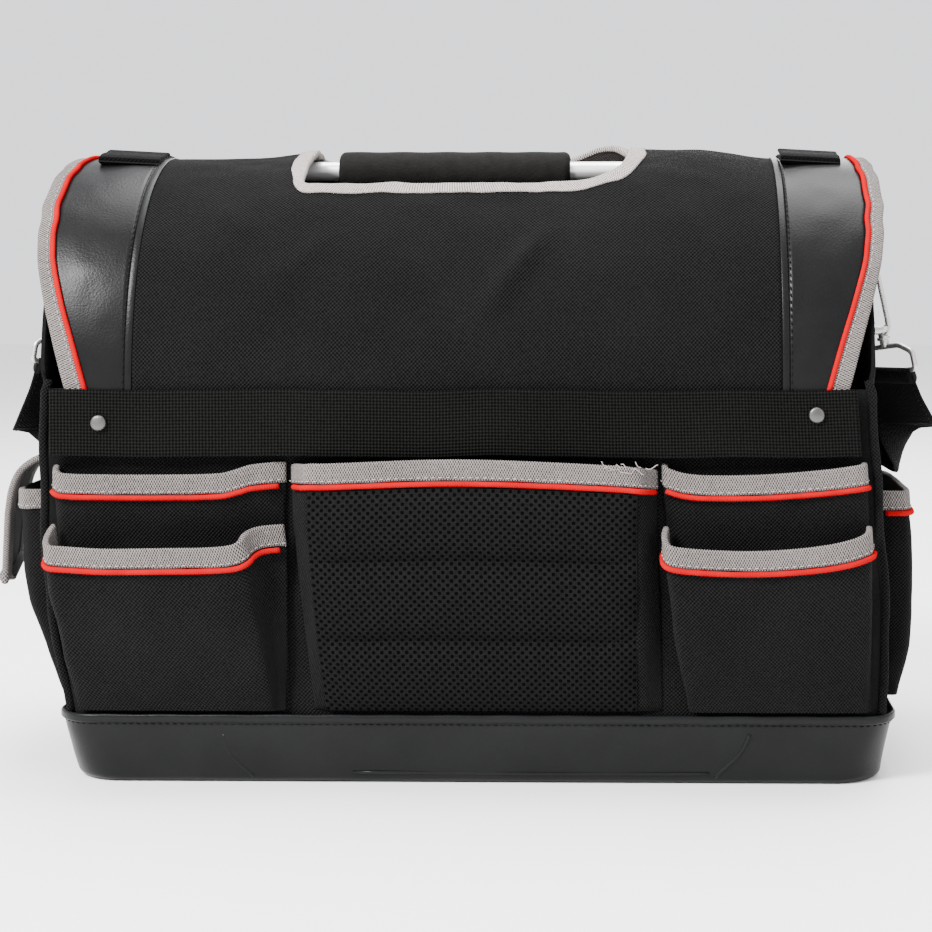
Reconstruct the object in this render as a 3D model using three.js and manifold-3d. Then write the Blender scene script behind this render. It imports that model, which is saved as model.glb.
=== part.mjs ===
import * as THREE from "three";
import { mergeVertices } from "three/addons/utils/BufferGeometryUtils.js";
import Module from "manifold-3d";

// A soft tool bag with a domed cover, a tube handle, bellows pockets and a clipped shoulder strap.
// Millimetres, +Z up. The origin is the middle of the base's underside, and the pocketed near side faces -Y.

const wasm = await Module();
wasm.setup();

// Base: a moulded tray that narrows towards the floor, with a rolled welt round its rim
const trayHalfLength = 242;
const trayHalfDepth = 122;
const trayHeight = 38;
const trayCorner = 36;
const trayTaper = 6;
const trayEdgeRadius = 4.5;
const trayThickness = 3;
const weltWidth = 7.5;
const weltThickness = 2.9;
const weltRise = 3;
const floorThickness = 2.6;

// Body: four fabric walls
const bodyHalfLength = 243;
const bodyHalfDepth = 120;
const bodyCorner = 12;
const wallThickness = 3;
const wallTop = 228;
const fullSectionHeight = 100;
const bodyLean = -8;
const leanTop = 150;
const shoulderPull = -5;
const shoulderReach = 230;

// Cover: a sheet bent over the half-round tops of the end walls
const coverThickness = 2;
const coverRise = 141;
const coverTuck = 33;
const coverHang = 53;
const coverEdge = 242;
const stripFootWidth = 24.9;
const coverSteps = 28;
const stripWeltWidth = 3.6;
const stripWeltHeight = 0.9;

// Points round one half of a corner, from its middle to the flat
const cornerSteps = 4;

// Trim
const tapeWidth = 10.5;
const tapeThickness = 1.2;
const edgeTapeWidth = 8.4;
const edgeTapeThickness = 3;
const pipingRadius = 1.6;
const pipingSides = 6;

// Slot in the cover that the handle comes up through
const slotCentre = -6.5;
const slotHalfWidth = 98.5;
const slotNear = -66;
const slotFar = 38;
const slotSmallCorner = 15;
const slotLargeCorner = 36;

// Handle
const tubeRadius = 6;
const tubeBend = 24;
const tubeBelowCrest = 11;
const tubeHeight = wallTop + coverRise - tubeBelowCrest;
const tubeLegEnd = 110;
const gripRadius = 11.8;
const gripLength = 145;
const gripCentre = -13;
const gripRound = 3;

// Band across the near side, and its rivets
const bandHalfLength = 235;
const bandWidth = 38;
const bandThickness = 2;
const rivetRadius = 4.6;
const rivetHeight = 1.8;
const rivets = {
  left: { place: -206.5, rise: 0 },
  right: { place: 207, rise: 5 },
};

// Closing straps, which come up from the far wall and end on the crest
const closingPlaces = { left: -216, right: 213 };
const closingWidth = 38;
const closingThickness = 1.8;
const closingSewn = 40;
const closingEndAngle = 94;

// Pockets
const clothThickness = 2;
const pocketBottom = 43.5;
const upperRim = 179;
const upperRise = 7;
const upperStand = 10;
const upperFootInset = 6;
const lowerRim = 139.5;
const lowerRise = 11;
const lowerStand = 20;
const lowerFootInset = 8;
const outerFootLeft = 2;
const outerFootRight = 3;
const centreLeft = -96.5;
const centreRight = 113.5;
const centreRim = 183.5;
const centreRise = 3;
const centreStand = 17;
const centreFootInset = 5;
const padThickness = 7.5;
const padSeamThickness = 2.5;
const padRibs = 3;
const endRim = 161;
const endStand = 25;
const endFootInset = 6;
const endNear = -75;
const endFar = 40;

// Flap of the left end pocket
const flapHinge = 184;
const flapNear = -66;
const flapFar = 32;
const flapThickness = 2;
const flapDrop = 73.6;
const flapReach = 46;

// Shoulder strap and its hardware
const strapWidth = 38;
const strapThickness = 2.2;
const strapHeight = 188;
const strapSag = 20;
const strapStandoff = 12.5;
const strapFar = 136;
const strapCornerRound = 22;
const ringWire = 3.6;
const ringHalfWidth = 23;
const ringDrop = 27;
const tabWidth = 36;
const tabLength = 30;
const tabThickness = 1.6;
const hardware = {
  left: { side: -1, bar: 323, tilt: THREE.MathUtils.degToRad(10) },
  right: { side: 1, bar: 317, tilt: THREE.MathUtils.degToRad(12) },
};
const hookLength = 42;
const hookHalfWidth = 6;
const hookDepth = 6;
const hookWire = 2.8;
const hookShoulder = 4;
const hookWaist = 5;
const hookChamfer = 1.5;
const gateLength = 20;
const gateFoot = 11;
const gateSeat = 4;
const swivelRadius = 3;
const swivelLength = 5;
const swivelSink = 1;
const eyeHalfWidth = 22;
const eyeDrop = 18;
const eyeWire = 3.6;
const eyeChamfer = 2;
const eyeShoulder = 0.55;
const eyeYaw = THREE.MathUtils.degToRad(52);

// Fits
const gap = 0.3;
const coverGap = 0.6;
const neighbourGap = 3.6;

const canvas = { color: 0x1e1d1d, roughness: 0.95, metalness: 0 };
const leatherette = { color: 0x414345, roughness: 0.6, metalness: 0 };
const webbing = { color: 0x191817, roughness: 0.95, metalness: 0 };
const spacerMesh = { color: 0x1c1e1c, roughness: 0.95, metalness: 0 };
const greyTape = { color: 0x96918f, roughness: 0.9, metalness: 0 };
const redPiping = { color: 0xf02a1e, roughness: 0.5, metalness: 0 };
const brightTube = { color: 0xc9c9c6, roughness: 0.25, metalness: 1 };
const foam = { color: 0x171717, roughness: 0.98, metalness: 0 };
const steel = { color: 0xa5a5a3, roughness: 0.3, metalness: 1 };

const bag = new THREE.Group();

// How far the soft body leans along X at a place: all of it above the tray, and the right shoulder once more
function leanAt(x, z) {
  const { clamp } = THREE.MathUtils;
  const body = bodyLean * clamp((z - trayHeight) / (leanTop - trayHeight), 0, 1);
  return body + shoulderPull * clamp(x / shoulderReach, 0, 1) * clamp((z - leanTop) / (wallTop - leanTop), 0, 1);
}

// Adds one named mesh; what stands on the tray leans with the body
function add(name, geometry, look, leans = true) {
  if (leans) {
    const place = geometry.getAttribute("position");
    for (let i = 0; i < place.count; i++) {
      place.setX(i, place.getX(i) + leanAt(place.getX(i), place.getZ(i)));
    }
  }
  geometry.computeVertexNormals();
  const mesh = new THREE.Mesh(geometry, new THREE.MeshStandardMaterial(look));
  mesh.name = name;
  bag.add(mesh);
}

// A geometry with shared corners whose faces point out
function closed(geometry) {
  const bare = geometry.clone();
  bare.deleteAttribute("normal");
  bare.deleteAttribute("uv");
  const merged = mergeVertices(bare, 1e-4);
  const place = merged.getAttribute("position");
  const index = merged.index.array;
  const [a, b, c] = [new THREE.Vector3(), new THREE.Vector3(), new THREE.Vector3()];
  let volume = 0;
  for (let i = 0; i < index.length; i += 3) {
    a.fromBufferAttribute(place, index[i]);
    b.fromBufferAttribute(place, index[i + 1]);
    c.fromBufferAttribute(place, index[i + 2]);
    volume += a.dot(b.cross(c));
  }
  if (volume < 0) {
    for (let i = 0; i < index.length; i += 3) {
      [index[i + 1], index[i + 2]] = [index[i + 2], index[i + 1]];
    }
  }
  return merged;
}

function fromFaces(points, faces) {
  const geometry = new THREE.BufferGeometry();
  const flat = points.flatMap((p) => [p.x, p.y, p.z]);
  geometry.setAttribute("position", new THREE.Float32BufferAttribute(flat, 3));
  geometry.setIndex(faces.flat());
  return closed(geometry);
}

function toSolid(geometry) {
  return new wasm.Manifold(
    new wasm.Mesh({
      numProp: 3,
      vertProperties: new Float32Array(geometry.getAttribute("position").array),
      triVerts: new Uint32Array(geometry.index.array),
    }),
  );
}

function fromSolid(solid) {
  const mesh = solid.getMesh();
  const geometry = new THREE.BufferGeometry();
  geometry.setAttribute("position", new THREE.Float32BufferAttribute(mesh.vertProperties, 3));
  geometry.setIndex(Array.from(mesh.triVerts));
  return geometry;
}

// A cloth sheet between an outer and an inner grid of points
function sheet(outer, inner) {
  const rows = outer.length;
  const cols = outer[0].length;
  const points = [...outer.flat(), ...inner.flat()];
  const at = (side, row, col) => (side * rows + row) * cols + col;
  const faces = [];
  const quad = (a, b, c, d) => faces.push([a, b, c], [a, c, d]);
  for (let r = 0; r + 1 < rows; r++) {
    for (let c = 0; c + 1 < cols; c++) {
      quad(at(0, r, c), at(0, r, c + 1), at(0, r + 1, c + 1), at(0, r + 1, c));
      quad(at(1, r, c), at(1, r + 1, c), at(1, r + 1, c + 1), at(1, r, c + 1));
    }
    quad(at(0, r, 0), at(0, r + 1, 0), at(1, r + 1, 0), at(1, r, 0));
    quad(at(0, r, cols - 1), at(1, r, cols - 1), at(1, r + 1, cols - 1), at(0, r + 1, cols - 1));
  }
  for (let c = 0; c + 1 < cols; c++) {
    quad(at(0, 0, c), at(1, 0, c), at(1, 0, c + 1), at(0, 0, c + 1));
    quad(at(0, rows - 1, c), at(0, rows - 1, c + 1), at(1, rows - 1, c + 1), at(1, rows - 1, c));
  }
  return fromFaces(points, faces);
}

// A body lofted through closed rings: capped at both ends, or joined end to end
function loft(rings, joined = false) {
  const count = rings[0].length;
  const points = rings.flat();
  const faces = [];
  const bands = joined ? rings.length : rings.length - 1;
  for (let r = 0; r < bands; r++) {
    const next = (r + 1) % rings.length;
    for (let i = 0; i < count; i++) {
      const j = (i + 1) % count;
      const [a, b] = [r * count + i, r * count + j];
      const [c, d] = [next * count + j, next * count + i];
      faces.push([a, b, c], [a, c, d]);
    }
  }
  if (!joined) {
    const middle = (ring) => ring.reduce((sum, p) => sum.add(p), new THREE.Vector3()).divideScalar(count);
    const first = points.push(middle(rings[0])) - 1;
    const last = points.push(middle(rings[rings.length - 1])) - 1;
    const top = (rings.length - 1) * count;
    for (let i = 0; i < count; i++) {
      const j = (i + 1) % count;
      faces.push([first, j, i], [last, top + i, top + j]);
    }
  }
  return fromFaces(points, faces);
}

// A path that is straight between its points and meets each of them in a sweep
class PointPath extends THREE.Curve {
  constructor(points) {
    super();
    this.points = points;
  }
  getPoint(t, target = new THREE.Vector3()) {
    const place = t * (this.points.length - 1);
    const start = Math.min(Math.floor(place), this.points.length - 2);
    return target.lerpVectors(this.points[start], this.points[start + 1], place - start);
  }
  getPointAt(u, target) {
    return this.getPoint(u, target);
  }
  getTangentAt(u, target) {
    return this.getTangent(u, target);
  }
}

function tube(points, radius, sides) {
  const section = new THREE.Shape();
  for (let i = 0; i < sides; i++) {
    const turn = (2 * Math.PI * i) / sides;
    const [x, y] = [radius * Math.cos(turn), radius * Math.sin(turn)];
    if (i === 0) section.moveTo(x, y);
    else section.lineTo(x, y);
  }
  const extrudePath = new PointPath(points);
  return closed(
    new THREE.ExtrudeGeometry(section, { steps: points.length - 1, bevelEnabled: false, extrudePath }),
  );
}

// One column of a table read at a key, straight between the rows; the first column is the key
function lookUp(table, column, key) {
  const last = table.length - 1;
  if (key <= table[0][0]) return table[0][column];
  if (key >= table[last][0]) return table[last][column];
  const i = table.findIndex((row) => row[0] > key) - 1;
  const share = (key - table[i][0]) / (table[i + 1][0] - table[i][0]);
  return THREE.MathUtils.lerp(table[i][column], table[i + 1][column], share);
}

// A rounded rectangle as a ring of points at one height
function roundedRing(halfLength, halfDepth, radius, z, steps = 2 * (cornerSteps - 1)) {
  const ring = [];
  const corners = [
    [1, 1],
    [-1, 1],
    [-1, -1],
    [1, -1],
  ];
  corners.forEach(([sx, sy], quarter) => {
    for (let i = 0; i <= steps; i++) {
      const turn = (Math.PI / 2) * (quarter + i / steps);
      const x = sx * (halfLength - radius) + radius * Math.cos(turn);
      const y = sy * (halfDepth - radius) + radius * Math.sin(turn);
      ring.push(new THREE.Vector3(x, y, z));
    }
  });
  return ring;
}

// Half sizes of the tray's outside at a height
function trayAt(z, inset = 0) {
  const narrow = trayTaper * (1 - z / trayHeight) + inset;
  return [trayHalfLength - narrow, trayHalfDepth - narrow, trayCorner - inset, z];
}

// Half sizes and corner radius of the walls' outside at a height
function bodyAt(z) {
  if (z <= trayHeight) return trayAt(z, trayThickness + gap);
  const [footLength, footDepth, footCorner] = trayAt(trayHeight, trayThickness + gap);
  const share = Math.min((z - trayHeight) / (fullSectionHeight - trayHeight), 1);
  return [
    THREE.MathUtils.lerp(footLength, bodyHalfLength, share),
    THREE.MathUtils.lerp(footDepth, bodyHalfDepth, share),
    THREE.MathUtils.lerp(footCorner, bodyCorner, share),
    z,
  ];
}

// Base
const floorBottom = trayThickness + gap;
const wallBottom = floorBottom + floorThickness + gap;

function makeBase() {
  const [length, depth, corner] = trayAt(0);
  const rounding = [0, 30, 60, 90].map((turn) => {
    const angle = THREE.MathUtils.degToRad(turn);
    const inset = trayEdgeRadius * (1 - Math.sin(angle));
    return roundedRing(length - inset, depth - inset, corner - inset, trayEdgeRadius * (1 - Math.cos(angle)));
  });
  const tray = loft([
    ...rounding,
    roundedRing(...trayAt(trayHeight)),
    roundedRing(...trayAt(trayHeight, trayThickness)),
    roundedRing(...trayAt(trayThickness, trayThickness)),
  ]);
  add("base_tray", tray, leatherette, false);

  const weltBottom = trayHeight + weltRise - weltWidth;
  const weltTop = weltBottom + weltWidth;
  const round = weltThickness / 3;
  const welt = loft(
    [
      roundedRing(...trayAt(weltBottom, -gap)),
      roundedRing(...trayAt(weltBottom, -gap - weltThickness + round)),
      roundedRing(...trayAt(weltBottom + round, -gap - weltThickness)),
      roundedRing(...trayAt(weltTop - round, -gap - weltThickness)),
      roundedRing(...trayAt(weltTop, -gap - weltThickness + round)),
      roundedRing(...trayAt(weltTop, -gap)),
    ],
    true,
  );
  add("base_welt", welt, leatherette, false);

  const board = loft([
    roundedRing(...trayAt(floorBottom, trayThickness + gap)),
    roundedRing(...trayAt(floorBottom + floorThickness, trayThickness + gap)),
  ]);
  add("bag_floor", board, canvas, false);
}

// Cover profile: a point of the sheet at a station, moved out from its middle by an offset
const coverHalfDepth = bodyHalfDepth + coverGap + coverThickness / 2;
const coverStations = [
  { turn: 0, drop: coverTuck },
  ...Array.from({ length: coverSteps + 1 }, (_, i) => ({ turn: (Math.PI * i) / coverSteps, drop: 0 })),
  { turn: Math.PI, drop: coverHang },
];

function coverAt({ turn, drop }, offset) {
  const out = new THREE.Vector2(-Math.cos(turn) * coverRise, Math.sin(turn) * coverHalfDepth).normalize();
  return [
    -coverHalfDepth * Math.cos(turn) + out.x * offset,
    wallTop - drop + coverRise * Math.sin(turn) + out.y * offset,
  ];
}

// Columns: degrees round the cover from its near side, cover edge as a share of coverEdge
const coverEdgeTable = [
  [0, 0.89],
  [9, 0.917],
  [19.5, 0.951],
  [29, 0.979],
  [40, 0.996],
  [60, 1],
  [90, 0.985],
  [120, 1],
  [150, 0.995],
  [180, 0.985],
];

const coverSeam = coverEdge * coverEdgeTable[0][1] - stripFootWidth;

function edgeAt(station) {
  return coverEdge * lookUp(coverEdgeTable, 1, THREE.MathUtils.radToDeg(station.turn));
}

// A sheet that follows the cover between two lines, each a place on X for every station
function coverSheet(from, to, inside, outside, stations = coverStations) {
  const side = (offset) =>
    stations.map((station) => {
      const [y, z] = coverAt(station, offset);
      return [from(station), to(station)].map((x) => new THREE.Vector3(x, y, z));
    });
  return sheet(side(outside), side(inside));
}

function slotShape(grow) {
  const shape = new THREE.Shape();
  const [left, right] = [slotCentre - slotHalfWidth - grow, slotCentre + slotHalfWidth + grow];
  const [near, far] = [slotNear - grow, slotFar + grow];
  const small = slotSmallCorner + grow;
  const large = slotLargeCorner + grow;
  const quarter = Math.PI / 2;
  shape.absarc(right - large, near + large, large, -quarter, 0, false);
  shape.absarc(right - small, far - small, small, 0, quarter, false);
  shape.absarc(left + small, far - small, small, quarter, 2 * quarter, false);
  shape.absarc(left + small, near + small, small, 2 * quarter, 3 * quarter, false);
  shape.closePath();
  return shape;
}

function slotColumn(grow) {
  const depth = coverRise;
  const column = new THREE.ExtrudeGeometry(slotShape(grow), { depth, bevelEnabled: false, curveSegments: 6 });
  return toSolid(closed(column.translate(0, 0, wallTop + coverRise / 2)));
}

function makeCover() {
  const half = coverThickness / 2;
  const seam = coverSeam - stripWeltWidth / 2 - gap;
  const panel = coverSheet(() => -seam, () => seam, -half, half);
  add("cover_panel", fromSolid(toSolid(panel).subtract(slotColumn(0))), canvas);

  const top = coverStations.slice(1, -1);
  const tapeFrom = half + gap;
  const reach = slotHalfWidth + 2 * tapeWidth;
  const layer = coverSheet(
    () => slotCentre - reach,
    () => slotCentre + reach,
    tapeFrom,
    tapeFrom + tapeThickness,
    top,
  );
  const ring = toSolid(layer).intersect(slotColumn(tapeWidth)).subtract(slotColumn(0));
  add("slot_binding", fromSolid(ring), greyTape);

  const weltHalf = stripWeltWidth / 2;
  const pipe = pipingRadius + gap;
  for (const [side, name] of [
    [-1, "left"],
    [1, "right"],
  ]) {
    const welt = coverSheet(
      () => side * (coverSeam - weltHalf),
      () => side * (coverSeam + weltHalf),
      -half,
      half + stripWeltHeight,
    );
    add("cover_welt_" + name, welt, leatherette);
    const strip = coverSheet(
      () => side * (coverSeam + weltHalf + gap),
      (station) => side * (edgeAt(station) - pipe),
      -half,
      half,
    );
    add("cover_strip_" + name, strip, leatherette);
    const binding = coverSheet(
      (station) => side * (edgeAt(station) + pipe),
      (station) => side * (edgeAt(station) + pipe + edgeTapeWidth),
      -edgeTapeThickness / 2,
      edgeTapeThickness / 2,
    );
    add("cover_binding_" + name, binding, greyTape);
    const line = coverStations.map((station) => {
      const [y, z] = coverAt(station, half);
      return new THREE.Vector3(side * edgeAt(station), y, z);
    });
    add("cover_piping_" + name, tube(line, pipingRadius, pipingSides), redPiping);
  }

  const hem = coverStations[coverStations.length - 1];
  const hemTop = { turn: hem.turn, drop: hem.drop - tapeWidth };
  const hemEdge = edgeAt(hem) - pipe;
  const hemFrom = tapeFrom + stripWeltHeight;
  const hemTape = coverSheet(() => -hemEdge, () => hemEdge, hemFrom, hemFrom + tapeThickness, [hemTop, hem]);
  add("cover_hem_binding", hemTape, greyTape);
}

// Closing straps: sewn to the far wall, up over the hem and the cover, ending on the crest
function makeClosingStraps() {
  const onCover = coverThickness / 2 + stripWeltHeight + gap;
  const overHem = onCover + tapeThickness + gap;
  const wallFace = bodyHalfDepth + gap;
  const hemHeight = wallTop - coverHang;
  const inner = [];
  const outer = [];
  const row = (y, z, list) => {
    const ends = [-closingWidth / 2, closingWidth / 2];
    list.push(ends.map((x) => new THREE.Vector3(x, y, z)));
  };
  for (const z of [hemHeight - closingSewn, hemHeight - 2 * closingThickness - coverThickness]) {
    row(wallFace, z, inner);
    row(wallFace + closingThickness, z, outer);
  }
  const bent = coverStations.filter((s) => s.turn >= THREE.MathUtils.degToRad(closingEndAngle)).reverse();
  bent.forEach((station, i) => {
    const rest = i === 0 ? overHem : onCover;
    const [innerY, innerZ] = coverAt(station, rest);
    const [outerY, outerZ] = coverAt(station, rest + closingThickness);
    if (i === 0) {
      row(innerY, innerZ - closingThickness, inner);
      row(outerY, outerZ - closingThickness, outer);
      const raised = { turn: station.turn, drop: station.drop - tapeWidth };
      row(coverAt(raised, overHem)[0], coverAt(raised, overHem)[1] + gap, inner);
      row(coverAt(raised, overHem + closingThickness)[0], coverAt(raised, overHem)[1] + gap, outer);
      return;
    }
    row(innerY, innerZ, inner);
    row(outerY, outerZ, outer);
  });
  for (const [name, place] of Object.entries(closingPlaces)) {
    const strap = sheet(outer, inner).translate(place, 0, 0);
    add("closing_strap_" + name, strap, webbing);
  }
}

// Walls: rows by height, columns round the plan from one corner seam to the next
const wallRows = [wallBottom, trayHeight, fullSectionHeight, leanTop, wallTop];

// Corner points of a wall's end, from the seam at 45 degrees to the flat
function cornerFan(z, depth) {
  const [length, width, corner] = bodyAt(z);
  const seam = gap / 2 / (corner - wallThickness);
  return Array.from({ length: cornerSteps }, (_, i) => {
    const turn = THREE.MathUtils.lerp(seam, Math.PI / 4, i / (cornerSteps - 1));
    return { turn, length: length - corner, width: width - corner, radius: corner - depth };
  });
}

function longWallRow(z, depth, side) {
  const fan = cornerFan(z, depth).map(({ turn, length, width, radius }) => [
    length + radius * Math.sin(Math.PI / 4 - turn),
    width + radius * Math.cos(Math.PI / 4 - turn),
  ]);
  const right = fan.map(([x, y]) => new THREE.Vector3(x, side * y, z));
  const left = fan.map(([x, y]) => new THREE.Vector3(-x, side * y, z)).reverse();
  return [...right, ...left];
}

function endWallRow(z, depth, side) {
  const fan = cornerFan(z, depth).map(({ turn, length, width, radius }) => [
    length + radius * Math.cos(Math.PI / 4 - turn),
    width + radius * Math.sin(Math.PI / 4 - turn),
  ]);
  const near = fan.map(([x, y]) => new THREE.Vector3(side * x, -y, z));
  const far = fan.map(([x, y]) => new THREE.Vector3(side * x, y, z)).reverse();
  return [...near, ...far];
}

// Degrees round the half-round top of an end wall
const crownTurns = [12, 25, 38, 52, 66, 84];

function crownRow(turn, depth, side) {
  const station = { turn: THREE.MathUtils.degToRad(turn), drop: 0 };
  const [y, z] = coverAt(station, -coverThickness / 2 - coverGap);
  const count = 2 * cornerSteps;
  return Array.from({ length: count }, (_, i) => {
    return new THREE.Vector3(side * (bodyHalfLength - depth), y * (1 - (2 * i) / (count - 1)), z);
  });
}

function makeWalls() {
  for (const [side, name] of [
    [-1, "near_wall"],
    [1, "far_wall"],
  ]) {
    const face = (depth) => wallRows.map((z) => longWallRow(z, depth, side));
    add(name, sheet(face(0), face(wallThickness)), canvas);
  }
  for (const [side, name] of [
    [-1, "left_end_wall"],
    [1, "right_end_wall"],
  ]) {
    const face = (depth) => [
      ...wallRows.map((z) => endWallRow(z, depth, side)),
      ...crownTurns.map((turn) => crownRow(turn, depth, side)),
    ];
    add(name, sheet(face(0), face(wallThickness)), canvas);
  }
}

// Handle
function makeHandle() {
  const leg = bodyHalfLength - wallThickness - gap - tubeRadius;
  const bend = Array.from({ length: 6 }, (_, i) => {
    const turn = (Math.PI / 2) * (i / 5);
    const x = leg - tubeBend + tubeBend * Math.cos(turn);
    return new THREE.Vector3(x, 0, tubeHeight - tubeBend + tubeBend * Math.sin(turn));
  });
  const upright = [tubeLegEnd, leanTop, wallTop].map((z) => new THREE.Vector3(leg, 0, z));
  const right = [...upright, ...bend];
  const left = right.map((p) => new THREE.Vector3(-p.x, p.y, p.z)).reverse();
  add("handle_frame", tube([...right, ...left], tubeRadius, 12), brightTube);

  const inner = tubeRadius + gap;
  const half = gripLength / 2;
  const profile = [
    [inner, -half],
    [gripRadius - gripRound, -half],
    [gripRadius, -half + gripRound],
    [gripRadius, half - gripRound],
    [gripRadius - gripRound, half],
    [inner, half],
    [inner, -half],
  ].map(([r, y]) => new THREE.Vector2(r, y));
  const grip = new THREE.LatheGeometry(profile, 16).rotateZ(Math.PI / 2);
  add("handle_grip", closed(grip.translate(gripCentre, 0, tubeHeight)), foam);
}

// Near band and its rivets
function makeBand() {
  const inside = coverHalfDepth + edgeTapeThickness / 2 + pipingRadius;
  const band = new THREE.BoxGeometry(2 * bandHalfLength, bandThickness, bandWidth);
  band.translate(0, -inside - bandThickness / 2, wallTop - bandWidth / 2);
  add("near_band", closed(band), webbing);
  const dome = [
    [0, 0],
    [rivetRadius, 0],
    [rivetRadius, rivetHeight * 0.4],
    [rivetRadius * 0.8, rivetHeight * 0.85],
    [0, rivetHeight],
  ].map(([r, y]) => new THREE.Vector2(r, y));
  for (const [name, { place, rise }] of Object.entries(rivets)) {
    const rivet = new THREE.LatheGeometry(dome, 10).rotateX(Math.PI);
    rivet.translate(place, -inside - bandThickness - gap, wallTop - bandWidth / 2 + rise);
    add("band_rivet_" + name, closed(rivet), steel);
  }
}

// Pockets.
// A plan table has a row for each fold or corner from the left foot to the right foot.
// Columns: place along as a share of the distance between the feet, stand-out share, rise of the rim share
const bellowsPlan = {
  left: [
    [0, 0.04, 1],
    [-0.012, 0.3, 0.7],
    [-0.011, 0.78, 0.28],
    [0.012, 0.98, 0.1],
    [0.06, 1.03, 0.05],
    [0.25, 1.1, 0],
    [0.5, 1.12, 0],
    [0.72, 1.08, 0],
    [0.82, 1.02, 0.06],
    [0.865, 0.92, 0.2],
    [0.885, 0.72, 0.36],
    [0.93, 0.4, 0.7],
    [1, 0.04, 1],
  ],
  flat: [
    [0, 0.04, 1],
    [0.004, 0.5, 0.8],
    [0.04, 0.86, 0.4],
    [0.2, 1, 0],
    [0.5, 1.05, 0],
    [0.78, 0.9, 0.2],
    [0.9, 0.66, 0.5],
    [0.985, 0.4, 0.8],
    [1, 0.04, 1],
  ],
  centre: [
    [0, 0.04, 0],
    [0.022, 0.45, 0.3],
    [0.043, 0.86, 0.5],
    [0.056, 0.98, 0.6],
    [0.1, 1, 0.8],
    [0.4, 1.04, 1],
    [0.6, 1.04, 1],
    [0.9, 1, 0.5],
    [0.944, 0.98, 0.3],
    [0.957, 0.86, 0.2],
    [0.978, 0.45, 0],
    [1, 0.04, -0.3],
  ],
  end: [
    [0, 0.04, 0],
    [-0.012, 0.4, 0],
    [-0.005, 0.8, 0],
    [0.05, 0.98, 0.2],
    [0.3, 1.04, 0.5],
    [0.7, 1.04, 0.5],
    [0.95, 0.98, 0.2],
    [1.005, 0.8, 0],
    [1.012, 0.4, 0],
    [1, 0.04, 0],
  ],
};

function mirrored(plan) {
  return plan.map(([along, stand, rise]) => [1 - along, stand, rise]).reverse();
}

// Columns: share of the pocket's height, share of its stand-out, share of the foot inset that is left
const bellowsHeights = [
  [0, 0.1, 1],
  [0.3, 0.62, 0.55],
  [0.62, 0.92, 0.2],
  [0.85, 1, 0],
  [1, 1, 0],
];
const flatHeights = [
  [0, 0.3, 1],
  [0.5, 0.34, 0.5],
  [0.72, 0.45, 0.2],
  [0.88, 0.9, 0],
  [1, 1, 0],
];
const endHeights = [
  [0, 0.5, 1],
  [0.35, 0.86, 0.4],
  [0.6, 1, 0.1],
  [0.9, 1, 0],
  [1, 1, 0],
];

// A pocket with its plan's outward directions, taken at the rim where the pocket stands out in full
function withNormals(pocket) {
  const { plan, left, right, stand } = pocket;
  const flat = plan.map(([along, out]) => [left + (right - left) * along, out * stand]);
  const normals = flat.map((_, i) => {
    const [x0, y0] = flat[Math.max(i - 1, 0)];
    const [x1, y1] = flat[Math.min(i + 1, flat.length - 1)];
    const length = Math.hypot(x1 - x0, y1 - y0);
    return [-(y1 - y0) / length, (x1 - x0) / length];
  });
  return { ...pocket, normals };
}

// Shares that keep a pocket's foot off the wall, and its rows apart under the tape
const leastStand = 0.01;
const leastRow = 0.02;

// A point of a pocket's skin: column of the plan, share of the height, offset out from its outer face
function pocketAt(pocket, column, share, offset) {
  const { plan, heights, left, right, bottom, rim, rise, stand, footInset, place } = pocket;
  const [along, out, lift] = plan[column];
  const top = rim + rise * lift;
  const z = bottom + (top - bottom) * share;
  const inset = footInset * lookUp(heights, 2, share);
  const x = left + inset + (right - left - 2 * inset) * along;
  const reach = out * stand * lookUp(heights, 1, share);
  const [nx, ny] = pocket.normals[column];
  return place(x + nx * offset, Math.max(reach + ny * offset, out * stand * leastStand), z);
}

function pocketGrid(pocket, shares, offset) {
  return shares.map((share) => pocket.plan.map((_, column) => pocketAt(pocket, column, share, offset)));
}

function makePocket(name, plain, piped = true) {
  const pocket = withNormals(plain);
  const height = pocket.rim - pocket.bottom;
  const tapeFoot = 1 - tapeWidth / height;
  const ownShares = pocket.shares ?? pocket.heights.map(([share]) => share);
  const shares = [...ownShares.filter((share) => share < tapeFoot - leastRow), tapeFoot, 1];
  add(name + "_pocket", sheet(pocketGrid(pocket, shares, 0), pocketGrid(pocket, shares, -clothThickness)), canvas);
  const tapeRows = [tapeFoot, 1];
  const tape = sheet(
    pocketGrid(pocket, tapeRows, gap + tapeThickness),
    pocketGrid(pocket, tapeRows, gap),
  );
  add(name + "_binding", tape, greyTape);
  if (!piped) return;
  const pipeShare = tapeFoot - (pipingRadius + gap) / height;
  const offset = gap + pipingRadius;
  const line = pocket.plan.map((_, column) => pocketAt(pocket, column, pipeShare, offset)).slice(1, -1);
  add(name + "_piping", tube(line, pipingRadius, pipingSides), redPiping);
}

// How far the upper pockets' outer face stands off the near wall at a height
function upperFace(z) {
  const share = (z - pocketBottom) / (upperRim - pocketBottom);
  return upperStand * 1.05 * lookUp(flatHeights, 1, THREE.MathUtils.clamp(share, 0, 1));
}

function onNearWall(standOff) {
  return (x, out, z) => new THREE.Vector3(x, -(bodyAt(z)[1] + gap + standOff(z) + out), z);
}

const bodyCornerPlace = bodyHalfLength - bodyCorner;

const centrePocket = {
  plan: bellowsPlan.centre,
  heights: bellowsHeights,
  left: centreLeft,
  right: centreRight,
  bottom: pocketBottom,
  rim: centreRim,
  rise: centreRise,
  stand: centreStand,
  footInset: centreFootInset,
  place: onNearWall(() => 0),
};

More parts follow.
